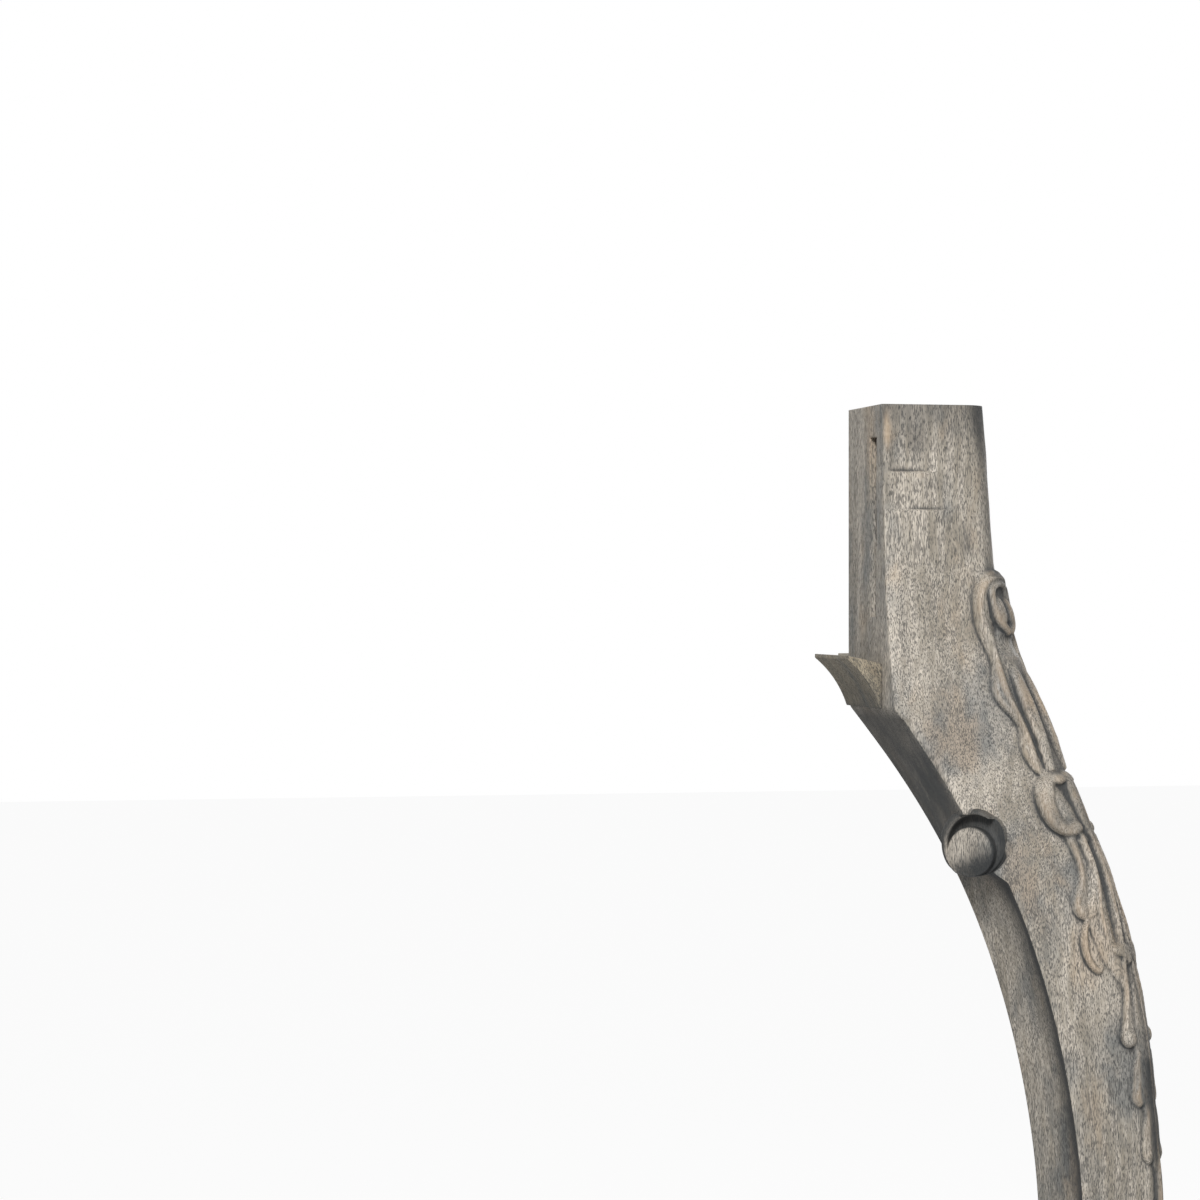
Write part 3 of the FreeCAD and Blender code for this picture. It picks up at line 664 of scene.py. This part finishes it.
def softened(field, sigma):
    """A soft copy of a chart, by three box blurs one after another."""
    wide = max(1, int(round(sigma * 1.2 / CHART_STEP)))
    for _ in range(3):
        for axis in (0, 1):
            padded = np.concatenate([np.repeat(field.take([0], axis), wide, axis), field,
                                     np.repeat(field.take([-1], axis), wide, axis)], axis)
            total = np.cumsum(padded, axis)
            total = np.concatenate([np.zeros_like(total.take([0], axis)), total], axis)
            size = field.shape[axis]
            upper = np.arange(2 * wide + 1, 2 * wide + 1 + size)
            field = (total.take(upper, axis) - total.take(upper - 2 * wide - 1, axis)) / (
                2 * wide + 1)
    return field


# The crest's middle is a mirror line, so the chart is folded over before it is softened.
middle_column = int(round(-CHART_LEFT / CHART_STEP))
chart[:, :middle_column] = chart[:, middle_column + 1:2 * middle_column + 1][:, ::-1]
relief_chart = softened(chart, 0.22)
near, wide = softened(chart, 0.9), softened(chart, 2.6)
# Stain kept in the leaf's hollows, with painted shade added: darker in hollows, and most on the
# flanks of forms that face down.
slope_z, slope_s = np.gradient(near, CHART_STEP)
facing = np.clip((slope_z - slope_s) / (1.2 * np.hypot(slope_z, slope_s) + 0.05), 0, 1)
stain_and_shade_chart = (np.clip((near - relief_chart) * 1.15, 0, 1.2) * (0.25 + 0.95 * facing)
              + np.clip((wide - relief_chart) * 0.36, 0, 0.6) * (0.55 + 0.5 * facing))
high_chart = np.clip((relief_chart - wide) * 0.24 + (relief_chart - near) * 0.32, 0, 0.45)
# Painted shade over the leaf's crest half, which turns away from the lamp.
stain_and_shade_chart += 0.62 * np.clip(1.25 - chart_s / 8.5, 0, 1) * np.clip(relief_chart / 1.5, 0, 1) * (
    1 - 1.1 * high_chart)


def read_chart(field, s, h):
    x = np.clip((s - CHART_LEFT) / CHART_STEP, 0, field.shape[1] - 1.001)
    y = np.clip((h - CHART_LOW) / CHART_STEP, 0, field.shape[0] - 1.001)
    i, j = x.astype(int), y.astype(int)
    a, b = x - i, y - j
    return ((field[j, i] * (1 - a) + field[j, i + 1] * a) * (1 - b)
            + (field[j + 1, i] * (1 - a) + field[j + 1, i + 1] * a) * b)


out_u = np.where(front_side & (u > outer_of - crest_of), u - (outer_of - crest_of), 0)
out_v = np.where(front_side, np.maximum(v - (outer_of - crest_of), 0), 0)
length = np.hypot(out_u, out_v)
on_front = front_side & (length > 0)
out_u, out_v = (np.where(on_front, part / np.maximum(length, 1e-6), 0) for part in (out_u, out_v))
crest_turn = np.arctan2(out_v, out_u) - math.pi / 4
from_crest = np.where(u > outer_of - crest_of, crest_of * crest_turn,
                      crest_of * math.pi / 4 + (outer_of - crest_of) - u)
in_leaf = on_front & (z > CHART_LOW) & (z < CHART_HIGH)
rise = np.where(in_leaf, read_chart(relief_chart, from_crest, z), 0)
stain_and_painted_shade = stain_and_painted_shade + np.where(in_leaf, read_chart(stain_and_shade_chart, from_crest, z), 0)
wear = np.where(in_leaf, read_chart(high_chart, from_crest, z), 0)
# Painted shade along the crest above and below the leaf, where the post and leg turn away from the
# lamp.
stain_and_painted_shade = stain_and_painted_shade + on_front * np.where(z > 600, 0.45, 0.30) * eased(from_crest, 9, 3) * (
    (z > 664) | (z < 430))


# Marks of the post's making: two flats left by a chisel, a worn notch, a crack and stain spots.
# Painted as light and shade: dark lines and a light line along the flats' ledges, and a darker top.
def flat_cut(low, high, left, right, depth):
    inside = (eased(u, left - 2.5, left + 1) * eased(u, right + 5, right - 3)
              * eased(z, low - 0.35, low + 0.35) * eased(z, high + 1, high - 10)) * on_front
    return -depth * inside


rise = rise + flat_cut(697.2, 714.8, 2.0, 33, 1.0) + flat_cut(716.2, 738, 5.0, 25, 1.3)


def spot(left, low, wide_u, tall):
    return np.exp(-(((u - left) / wide_u) ** 2 + ((z - low) / tall) ** 2)) * on_front


# Stain: a blotch, a patch, a crack and two thin streaks. Painted shadow: the dark lines along the
# flats' ledges at 717 and 698.2, and the darker band over the post's top where the table top would
# shade it.
stain_and_painted_shade = (stain_and_painted_shade + 0.75 * spot(43, 681, 3.2, 8) + 0.5 * spot(18, 728, 4, 9)
          + 1.0 * spot(11, 717.0, 10, 0.8) + 0.95 * spot(22, 698.2, 12, 0.7)
          + 0.8 * spot(38, 641.8, 5.5, 0.7) + 0.6 * eased(z, 712, 749) * on_front
          + 0.35 * spot(8, 640, 2.2, 30) + 0.3 * spot(21, 672, 1.6, 16))
# The notch at the top corner is wear; the light line along the ledge at 714.6 is a painted
# highlight.
wear = wear + 0.9 * spot(2.5, 737, 1.8, 8) + 0.5 * spot(12, 714.6, 9, 1.6)

# The whole surface is a little uneven, as gouges and scrapers leave it.
dice = np.random.default_rng(11)
uneven = np.zeros_like(z)
for _ in range(16):
    wave = dice.normal(size=3) * (2 * math.pi / dice.uniform(16, 46))
    uneven += np.sin(u * wave[0] + v * wave[1] + z * wave[2] * 0.5 + dice.uniform(0, 6.3))
uneven *= 0.045 * eased(z, 0, 6) * eased(z, TOP, TOP - 8)
u = u + out_u * (rise + uneven) - ~front_side * uneven * eased(share_of, 0.0, 0.1)
v = v + out_v * (rise + uneven)

# Groove round the scroll's eye, cut into both faces along the line halfway between them.
SCROLL_HEIGHT, SCROLL_SHIFT = 529.5, 8.2
EYE_RADIUS, EYE_RECESS = 12.0, 3.0
GROOVE_RADIUS, GROOVE_SHIFT, GROOVE_RECESS = 15.5, 2.9, 8.5
KNUCKLE_RADIUS, KNUCKLE_SHIFT, KNUCKLE_RECESS = 17.0, (-0.5, 4.5), 1.5
arris_u = float(inner_at(SCROLL_HEIGHT))
arris_v = float(outer_at(SCROLL_HEIGHT))
across = ((u - arris_u) + (v - arris_v)) / math.sqrt(2) + SCROLL_SHIFT
proud = ((v - arris_v) - (u - arris_u)) / math.sqrt(2)
above = z - SCROLL_HEIGHT
from_groove = np.hypot(across - GROOVE_SHIFT, above - GROOVE_SHIFT)
near_scroll = (np.abs(above) < 30) & (np.abs(across) < 30)
sink = eased(from_groove, GROOVE_RADIUS + 0.5, GROOVE_RADIUS - 0.9) * near_scroll
floor = -GROOVE_RECESS - 0.8
drop = np.minimum(floor - proud, 0) * sink
u, v = u - drop / math.sqrt(2), v + drop / math.sqrt(2)
# Painted shade and stain: darker where the groove cuts deep, and over the whole groove and the eye
# inside it.
stain_and_painted_shade = stain_and_painted_shade + 1.3 * eased(drop, -0.8, -4.0)
stain_and_painted_shade = stain_and_painted_shade + 0.55 * near_scroll * eased(from_groove, GROOVE_RADIUS + 2.0, GROOVE_RADIUS) * (
    proud > -12)

# The scraper eases both ridges by a few strokes, and the hip's by many.
from_ridge = np.abs(share_of - 0.5)
whole_ridge = (from_ridge < 0.02) & (z > 20) & (sink < 0.02)
hip_ridge = (from_ridge < 0.10) & (z > 548) & (z < 594) & (sink < 0.02)
for eased_part, strokes in ((whole_ridge, 3), (hip_ridge, 67)):
    for _ in range(strokes):
        for part in (u, v):
            soft = part.copy()
            soft[:, 1:-1] = part[:, 1:-1] * 0.5 + (part[:, :-2] + part[:, 2:]) * 0.25
            part[...] = np.where(eased_part, soft, part)

# Both halves meet in the same points along the inner corner and along the crest.
for seam in (0, -1):
    u[:, seam] = v[:, seam] = (u[:, seam] + v[:, seam]) / 2

origin = CENTRE / 1000
front_verts = np.stack([u / 1000 - origin, origin - v / 1000, z / 1000], axis=-1).reshape(-1, 3)
side_verts = np.stack([v / 1000 - origin, origin - u / 1000, z / 1000], axis=-1).reshape(-1, 3)
quads = grid_quads(ROWS, COLUMNS)
wood_mesh = bpy.data.meshes.new("carved_leg")
wood_mesh.from_pydata(np.vstack([front_verts, side_verts]).tolist(), [],
                      np.vstack([quads, quads[:, ::-1] + count]).tolist())


def mark_points(mesh, stain_and_painted_shade, wear):
    """Stores how much stain and painted shade darken each point, and how far it is rubbed."""
    for label, values in (("stain_and_painted_shade", stain_and_painted_shade), ("wear", wear)):
        layer = mesh.attributes.new(label, "FLOAT", "POINT")
        layer.data.foreach_set("value", np.array(values, np.float32))


mark_points(wood_mesh, *(np.tile(np.clip(field, 0, 1.5).reshape(-1), 2)
                         for field in (stain_and_painted_shade, wear)))
leg.data = wood_mesh


def tidy_mesh(piece, merge=0.00004, smooth=True):
    """Joins seams, closes holes and turns every face outwards."""
    work = bmesh.new()
    work.from_mesh(piece.data)
    bmesh.ops.remove_doubles(work, verts=work.verts, dist=merge)
    open_edges = [edge for edge in work.edges if edge.is_boundary]
    if open_edges:
        bmesh.ops.holes_fill(work, edges=open_edges, sides=0)
    bmesh.ops.recalc_face_normals(work, faces=work.faces)
    for face in work.faces:
        face.smooth = smooth
    work.to_mesh(piece.data)
    work.free()
    piece.data.update()


tidy_mesh(leg)
leg.data.materials.append(carved_wood)
thin = leg.modifiers.new("fewer_faces", "DECIMATE")
thin.ratio = FACE_LIMIT / sum(len(face.vertices) - 2 for face in leg.data.polygons)
baked(leg)

# Two blind mortises take the rails' tenons, cut from the post's inner sides.
MORTISE_SETBACK, MORTISE_WIDTH, MORTISE_DEPTH = 42.0, 10.0, 30.0
MORTISE_HEIGHT, MORTISE_SHOULDER = 90.0, 16.0


def box_mesh(name, low, high):
    work = bmesh.new()
    bmesh.ops.create_cube(work, size=1.0)
    middle, span = (Vector(high) + Vector(low)) / 2, Vector(high) - Vector(low)
    for vert in work.verts:
        vert.co = middle + Vector(a * b for a, b in zip(vert.co, span))
    mesh = bpy.data.meshes.new(name)
    work.to_mesh(mesh)
    work.free()
    return in_scene(name, mesh)


top = LEG_HEIGHT - MORTISE_SHOULDER / 1000
slots = []
for turned in (False, True):
    low_u, high_u = -5.0, MORTISE_DEPTH
    low_v, high_v = MORTISE_SETBACK - MORTISE_WIDTH / 2, MORTISE_SETBACK + MORTISE_WIDTH / 2
    a, b = ((low_v, high_v), (low_u, high_u)) if turned else ((low_u, high_u), (low_v, high_v))
    slots.append(box_mesh("chisel_slot", (a[0] / 1000 - origin, origin - b[1] / 1000,
                                          top - MORTISE_HEIGHT / 1000),
                          (a[1] / 1000 - origin, origin - b[0] / 1000, top)))
    cutter = leg.modifiers.new("mortise", "BOOLEAN")
    cutter.operation, cutter.solver, cutter.object = "DIFFERENCE", "EXACT", slots[-1]
baked(leg)
for slot in slots:
    bpy.data.objects.remove(slot)
leg.data.materials.clear()
leg.data.materials.append(carved_wood)
leg.data.materials.append(end_grain)
for face in leg.data.polygons:
    face.material_index = 1 if abs(face.normal.z) > 0.98 and (
        face.center.z > 0.7495 or face.center.z < 0.0005) else 0
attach(leg, "root")
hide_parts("leg")

# Scrolls: the rolled ends of the leg's two inner edges, carved from the same wood. Each is a round
# eye in a groove that narrows round it, inside a knuckle that swells out of the inner side.

AXIS_OUT = np.array([-1.0, -1.0, 0.0]) / math.sqrt(2)
AXIS_ACROSS = np.array([1.0, -1.0, 0.0]) / math.sqrt(2)


def ring_reach(angle, shift_across, shift_up, radius):
    """How far a round outline lies from the eye's middle in one direction."""
    toward = shift_across * np.cos(angle) + shift_up * np.sin(angle)
    aside = shift_across * np.sin(angle) - shift_up * np.cos(angle)
    return toward + np.sqrt(radius ** 2 - aside ** 2)


SPOKES = 168
angles = np.linspace(0, 2 * math.pi, SPOKES, endpoint=False)
groove_edge = ring_reach(angles, GROOVE_SHIFT, GROOVE_SHIFT, GROOVE_RADIUS)
knuckle_edge = ring_reach(angles, *KNUCKLE_SHIFT, KNUCKLE_RADIUS)
opened = eased(groove_edge, EYE_RADIUS - 0.2, EYE_RADIUS + 2.2)
turned_away = np.clip(np.cos(angles - 2.5), 0, 1) ** 0.7
floor_level = -EYE_RECESS - 0.4 - (GROOVE_RECESS - EYE_RECESS - 0.4) * opened
wall_foot = np.maximum(groove_edge - 0.5, EYE_RADIUS + 0.35)
wall_foot = np.minimum(wall_foot, knuckle_edge - 0.4)
in_knuckle = groove_edge < knuckle_edge - 0.8
lower = np.clip(-np.sin(angles - 0.5), 0, 1) ** 1.5


def disc_level(reach):
    """The eye's face: nearly flat above, rolling back towards its lower left edge."""
    share = reach / EYE_RADIUS
    return -EYE_RECESS + 0.6 - 0.8 * share ** 4 - 2.6 * lower * share ** 2.2


rim_level = np.where(in_knuckle, disc_level(EYE_RADIUS) * (1 - opened) - KNUCKLE_RECESS * opened,
                     -GROOVE_RECESS)
# The third value of each ring is painted shade: darker down in the groove and on the knuckle's side
# turned from the lamp.
rings = [(np.full(SPOKES, r), disc_level(r), np.full(SPOKES, 0.10))
         for r in (0.6, 2.5, 4.5, 6.5, 8.2, 9.4, 10.4, 11.1)]
edge_level = disc_level(11.1)
rings += [(np.full(SPOKES, EYE_RADIUS - 0.9 + 0.9 * math.sin(a)),
           edge_level - (0.9 - 0.9 * math.cos(a)) * opened, 0.1 + 0.5 * math.sin(a) * opened)
          for a in (0.5, 1.0, 1.4)]
rings += [(np.full(SPOKES, EYE_RADIUS + 0.02),
           edge_level - 0.9 * opened + (floor_level - edge_level + 0.9 * opened)
           * step * opened, 0.9 * opened) for step in (0.5, 0.85)]
floor_here = np.where(opened > 0.02, floor_level, disc_level(EYE_RADIUS))
rings += [(np.full(SPOKES, EYE_RADIUS + 0.15), floor_here, 1.2 * opened),
          ((EYE_RADIUS + 0.2 + wall_foot) / 2, floor_here - 0.3 * opened, 1.2 * opened),
          (wall_foot, floor_here, 1.2 * opened),
          (wall_foot + 0.25, (floor_here + np.where(in_knuckle, rim_level, floor_here)) / 2,
           0.9 * opened),
          (np.minimum(wall_foot + 0.5, knuckle_edge), np.where(in_knuckle, rim_level - 0.3 * opened,
                                                                floor_here), 0.5 * opened)]
last_reach = np.minimum(wall_foot + 1.0, knuckle_edge)
fall = 0.85 * turned_away * np.maximum(knuckle_edge - last_reach, 0)
rings += [(np.maximum(last_reach, knuckle_edge - 1.5),
           np.where(in_knuckle, rim_level - fall * 0.7, floor_here), 0.25 + 0.75 * turned_away)]
for depth, pull in ((0.7, 0.4), (2.0, 0.0), (5.0, 0.0), (9.0, 0.5), (13.0, 1.6), (17.0, 3.2),
                    (21.0, 5.6), (24.5, 8.6), (27.5, 12.2), (29.5, 15.5)):
    rings.append((np.maximum(knuckle_edge - pull, 0.8),
                  np.where(in_knuckle, rim_level - fall, floor_here) - depth,
                  (0.30 if depth < 6 else 0.12) + 0.5 * turned_away))


def scroll(name, turned):
    verts, deep = [], []
    start = np.array([arris_u - CENTRE, CENTRE - arris_v, SCROLL_HEIGHT])
    for reach, level, dark in rings:
        for k, angle in enumerate(angles):
            place = (start + AXIS_OUT * level[k]
                     + AXIS_ACROSS * (reach[k] * math.cos(angle) - SCROLL_SHIFT))
            place[2] += reach[k] * math.sin(angle)
            verts.append(place / 1000)
            # Painted shade on top of that, darkest over the eye's lower side that rolls away from
            # the lamp.
            deep.append(dark[k] + 0.30 + 0.75 * eased(-math.sin(angle - 0.35) * reach[k], -3, 11))
    verts = np.array(verts)
    if turned:
        verts = np.stack([-verts[:, 1], -verts[:, 0], verts[:, 2]], axis=1)
    faces = []
    for ring in range(len(rings) - 1):
        for k in range(SPOKES):
            following = (k + 1) % SPOKES
            faces.append((ring * SPOKES + k, ring * SPOKES + following,
                          (ring + 1) * SPOKES + following, (ring + 1) * SPOKES + k))
    mesh = bpy.data.meshes.new(name)
    mesh.from_pydata(verts.tolist(), [], faces)
    mark_points(mesh, deep, np.zeros(len(deep)))
    piece = in_scene(name, mesh)
    tidy_mesh(piece)
    piece.data.materials.append(carved_wood)
    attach(piece, "root")


scroll("scroll_front", False)
scroll("scroll_side", True)

# Knee blocks: two small wedges of the same wood, glued to the post under the rails. Their hollow
# undersides carry the leg's inner curve on, and each stands a hair proud of the joint.

BLOCK_RUN, BLOCK_DROP, BLOCK_RISE = 18.0, 22.5, 4.0
BLOCK_TIP, BLOCK_LIP, BLOCK_HOLLOW = 2.0, 1.0, 2.2
block_wood = stained_wood("knee_block_wood", colour(178, 165, 142), colour(128, 120, 104),
                          colour(92, 95, 94), colour(40, 43, 46), colour(176, 142, 104), 0.55,
                          turn=(0.25, 0.35, 0.0))


def knee_block(name, node, turned):
    """A wedge drawn out across the post from its outline, with its edges eased."""
    high = POST_FOOT + BLOCK_DROP
    tip = np.array([-BLOCK_RUN, high + BLOCK_RISE - BLOCK_TIP])
    lip = np.array([-BLOCK_LIP, POST_FOOT])
    along = lip - tip
    inward = np.array([-along[1], along[0]]) / np.hypot(*along)
    inward = inward if inward[1] > 0 else -inward
    hollow = [tip + along * t + inward * BLOCK_HOLLOW * 4 * t * (1 - t)
              for t in np.linspace(0, 1, 15)]
    outline = [(0, POST_FOOT), (0, high), (-BLOCK_RUN, high + BLOCK_RISE)] + [
        tuple(p) for p in hollow]
    work = bmesh.new()
    rims = []
    for depth in (0.0, POST_SQUARE):
        rims.append([work.verts.new(((x - CENTRE) / 1000, origin - depth / 1000, height / 1000))
                     for x, height in outline])
    size = len(outline)
    work.faces.new(rims[0])
    work.faces.new(rims[1][::-1])
    for k in range(size):
        n = (k + 1) % size
        work.faces.new((rims[0][k], rims[1][k], rims[1][n], rims[0][n]))
    bmesh.ops.recalc_face_normals(work, faces=work.faces)
    sharp = [edge for edge in work.edges if edge.calc_face_angle(0) > 0.6]
    bmesh.ops.bevel(work, geom=sharp, offset=0.0005, segments=2, affect="EDGES", profile=0.6)
    mesh = bpy.data.meshes.new(name)
    work.to_mesh(mesh)
    work.free()
    if turned:
        for vert in mesh.vertices:
            vert.co.x, vert.co.y = -vert.co.y, -vert.co.x
    piece = in_scene(name, mesh)
    tidy_mesh(piece, 0.00001, smooth=False)
    # Darker along the joint with the post, and painted shade over the lower part that faces down.
    deep = []
    for vert in piece.data.vertices:
        near_post = (vert.co.x if not turned else -vert.co.y) + origin
        under = eased(vert.co.z * 1000 - POST_FOOT, 24.0, 6.0)
        deep.append(0.55 * float(eased(near_post, -0.002, 0.0)) + 0.35 * float(under))
    mark_points(piece.data, deep, np.zeros(len(deep)))
    piece.data.materials.append(block_wood)
    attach(piece, "root")
    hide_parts(node)


knee_block("block_front", "knee_block_front", False)
knee_block("block_side", "knee_block_side", True)

# Studio: a white floor that runs far back, a soft key light from the upper left and front, a weak
# one from behind, and a level camera with the photograph's long lens.

floor_mesh = bpy.data.meshes.new("studio_floor")
floor_mesh.from_pydata([(-6, -4, 0), (6, -4, 0), (6, 9, 0), (-6, 9, 0)], [], [(0, 1, 2, 3)])
studio_floor = in_scene("studio_floor", floor_mesh)
paper = bpy.data.materials.new("white_paper")
paper.use_nodes = True
tree = paper.node_tree
tree.nodes.clear()
matt = add_node(tree, "ShaderNodeBsdfDiffuse", {"Color": (0.88, 0.88, 0.88, 1.0)})
bright = add_node(tree, "ShaderNodeEmission", {"Color": (1.0, 1.0, 1.0, 1.0), "Strength": 1.0})
seen = add_node(tree, "ShaderNodeLightPath").outputs["Is Camera Ray"]
both = add_node(tree, "ShaderNodeMixShader", {0: calc(tree, "MULTIPLY", seen, 0.95),
                                              1: matt.outputs[0], 2: bright.outputs[0]})
tree.links.new(both.outputs[0], tree.nodes.new("ShaderNodeOutputMaterial").inputs[0])
floor_mesh.materials.append(paper)

world = bpy.data.worlds.new("studio")
bpy.context.scene.world = world
world.use_nodes = True
tree = world.node_tree
tree.nodes.clear()
path = add_node(tree, "ShaderNodeLightPath").outputs
seen = calc(tree, "MAXIMUM", path["Is Camera Ray"],
              calc(tree, "MAXIMUM", path["Is Glossy Ray"], path["Is Transmission Ray"]))
dim = add_node(tree, "ShaderNodeBackground", {"Color": (0.95, 0.98, 1.0, 1.0), "Strength": 0.19})
white = add_node(tree, "ShaderNodeBackground", {"Color": (1.0, 1.0, 1.0, 1.0), "Strength": 1.0})
both = add_node(tree, "ShaderNodeMixShader", {0: seen, 1: dim.outputs[0], 2: white.outputs[0]})
tree.links.new(both.outputs[0], tree.nodes.new("ShaderNodeOutputWorld").inputs[0])


def soft_lamp(name, place, aim, size, power):
    lamp = bpy.data.lights.new(name, "AREA")
    lamp.shape, lamp.size, lamp.energy = "DISK", size, power
    stand = in_scene(name, lamp)
    stand.location = place
    stand.rotation_mode = "QUATERNION"
    stand.rotation_quaternion = (Vector(aim) - Vector(place)).to_track_quat("-Z", "Y")


soft_lamp("window_front", (-0.8, -1.85, 1.75), (0, 0, 0.5), 0.8, 50)
soft_lamp("fill_back", (1.2, 1.6, 1.2), (0, 0, 0.4), 1.4, 6)

CAMERA_TURN, CAMERA_FAR, CAMERA_ASIDE = math.radians(12.9), 1.6, 0.1995
CAMERA_AIM = Vector((-0.009, 0.009, 0.6525))
along_axis = Vector((math.sin(CAMERA_TURN), math.cos(CAMERA_TURN), 0))
to_right = Vector((math.cos(CAMERA_TURN), -math.sin(CAMERA_TURN), 0))
lens = bpy.data.cameras.new("camera")
lens.sensor_width, lens.lens = 36.0, 96.0
eye = in_scene("camera", lens)
eye.location = CAMERA_AIM - along_axis * CAMERA_FAR - to_right * CAMERA_ASIDE
eye.rotation_mode = "QUATERNION"
eye.rotation_quaternion = along_axis.to_track_quat("-Z", "Y")
bpy.context.scene.camera = eye
bpy.context.scene.view_settings.view_transform = "Standard"
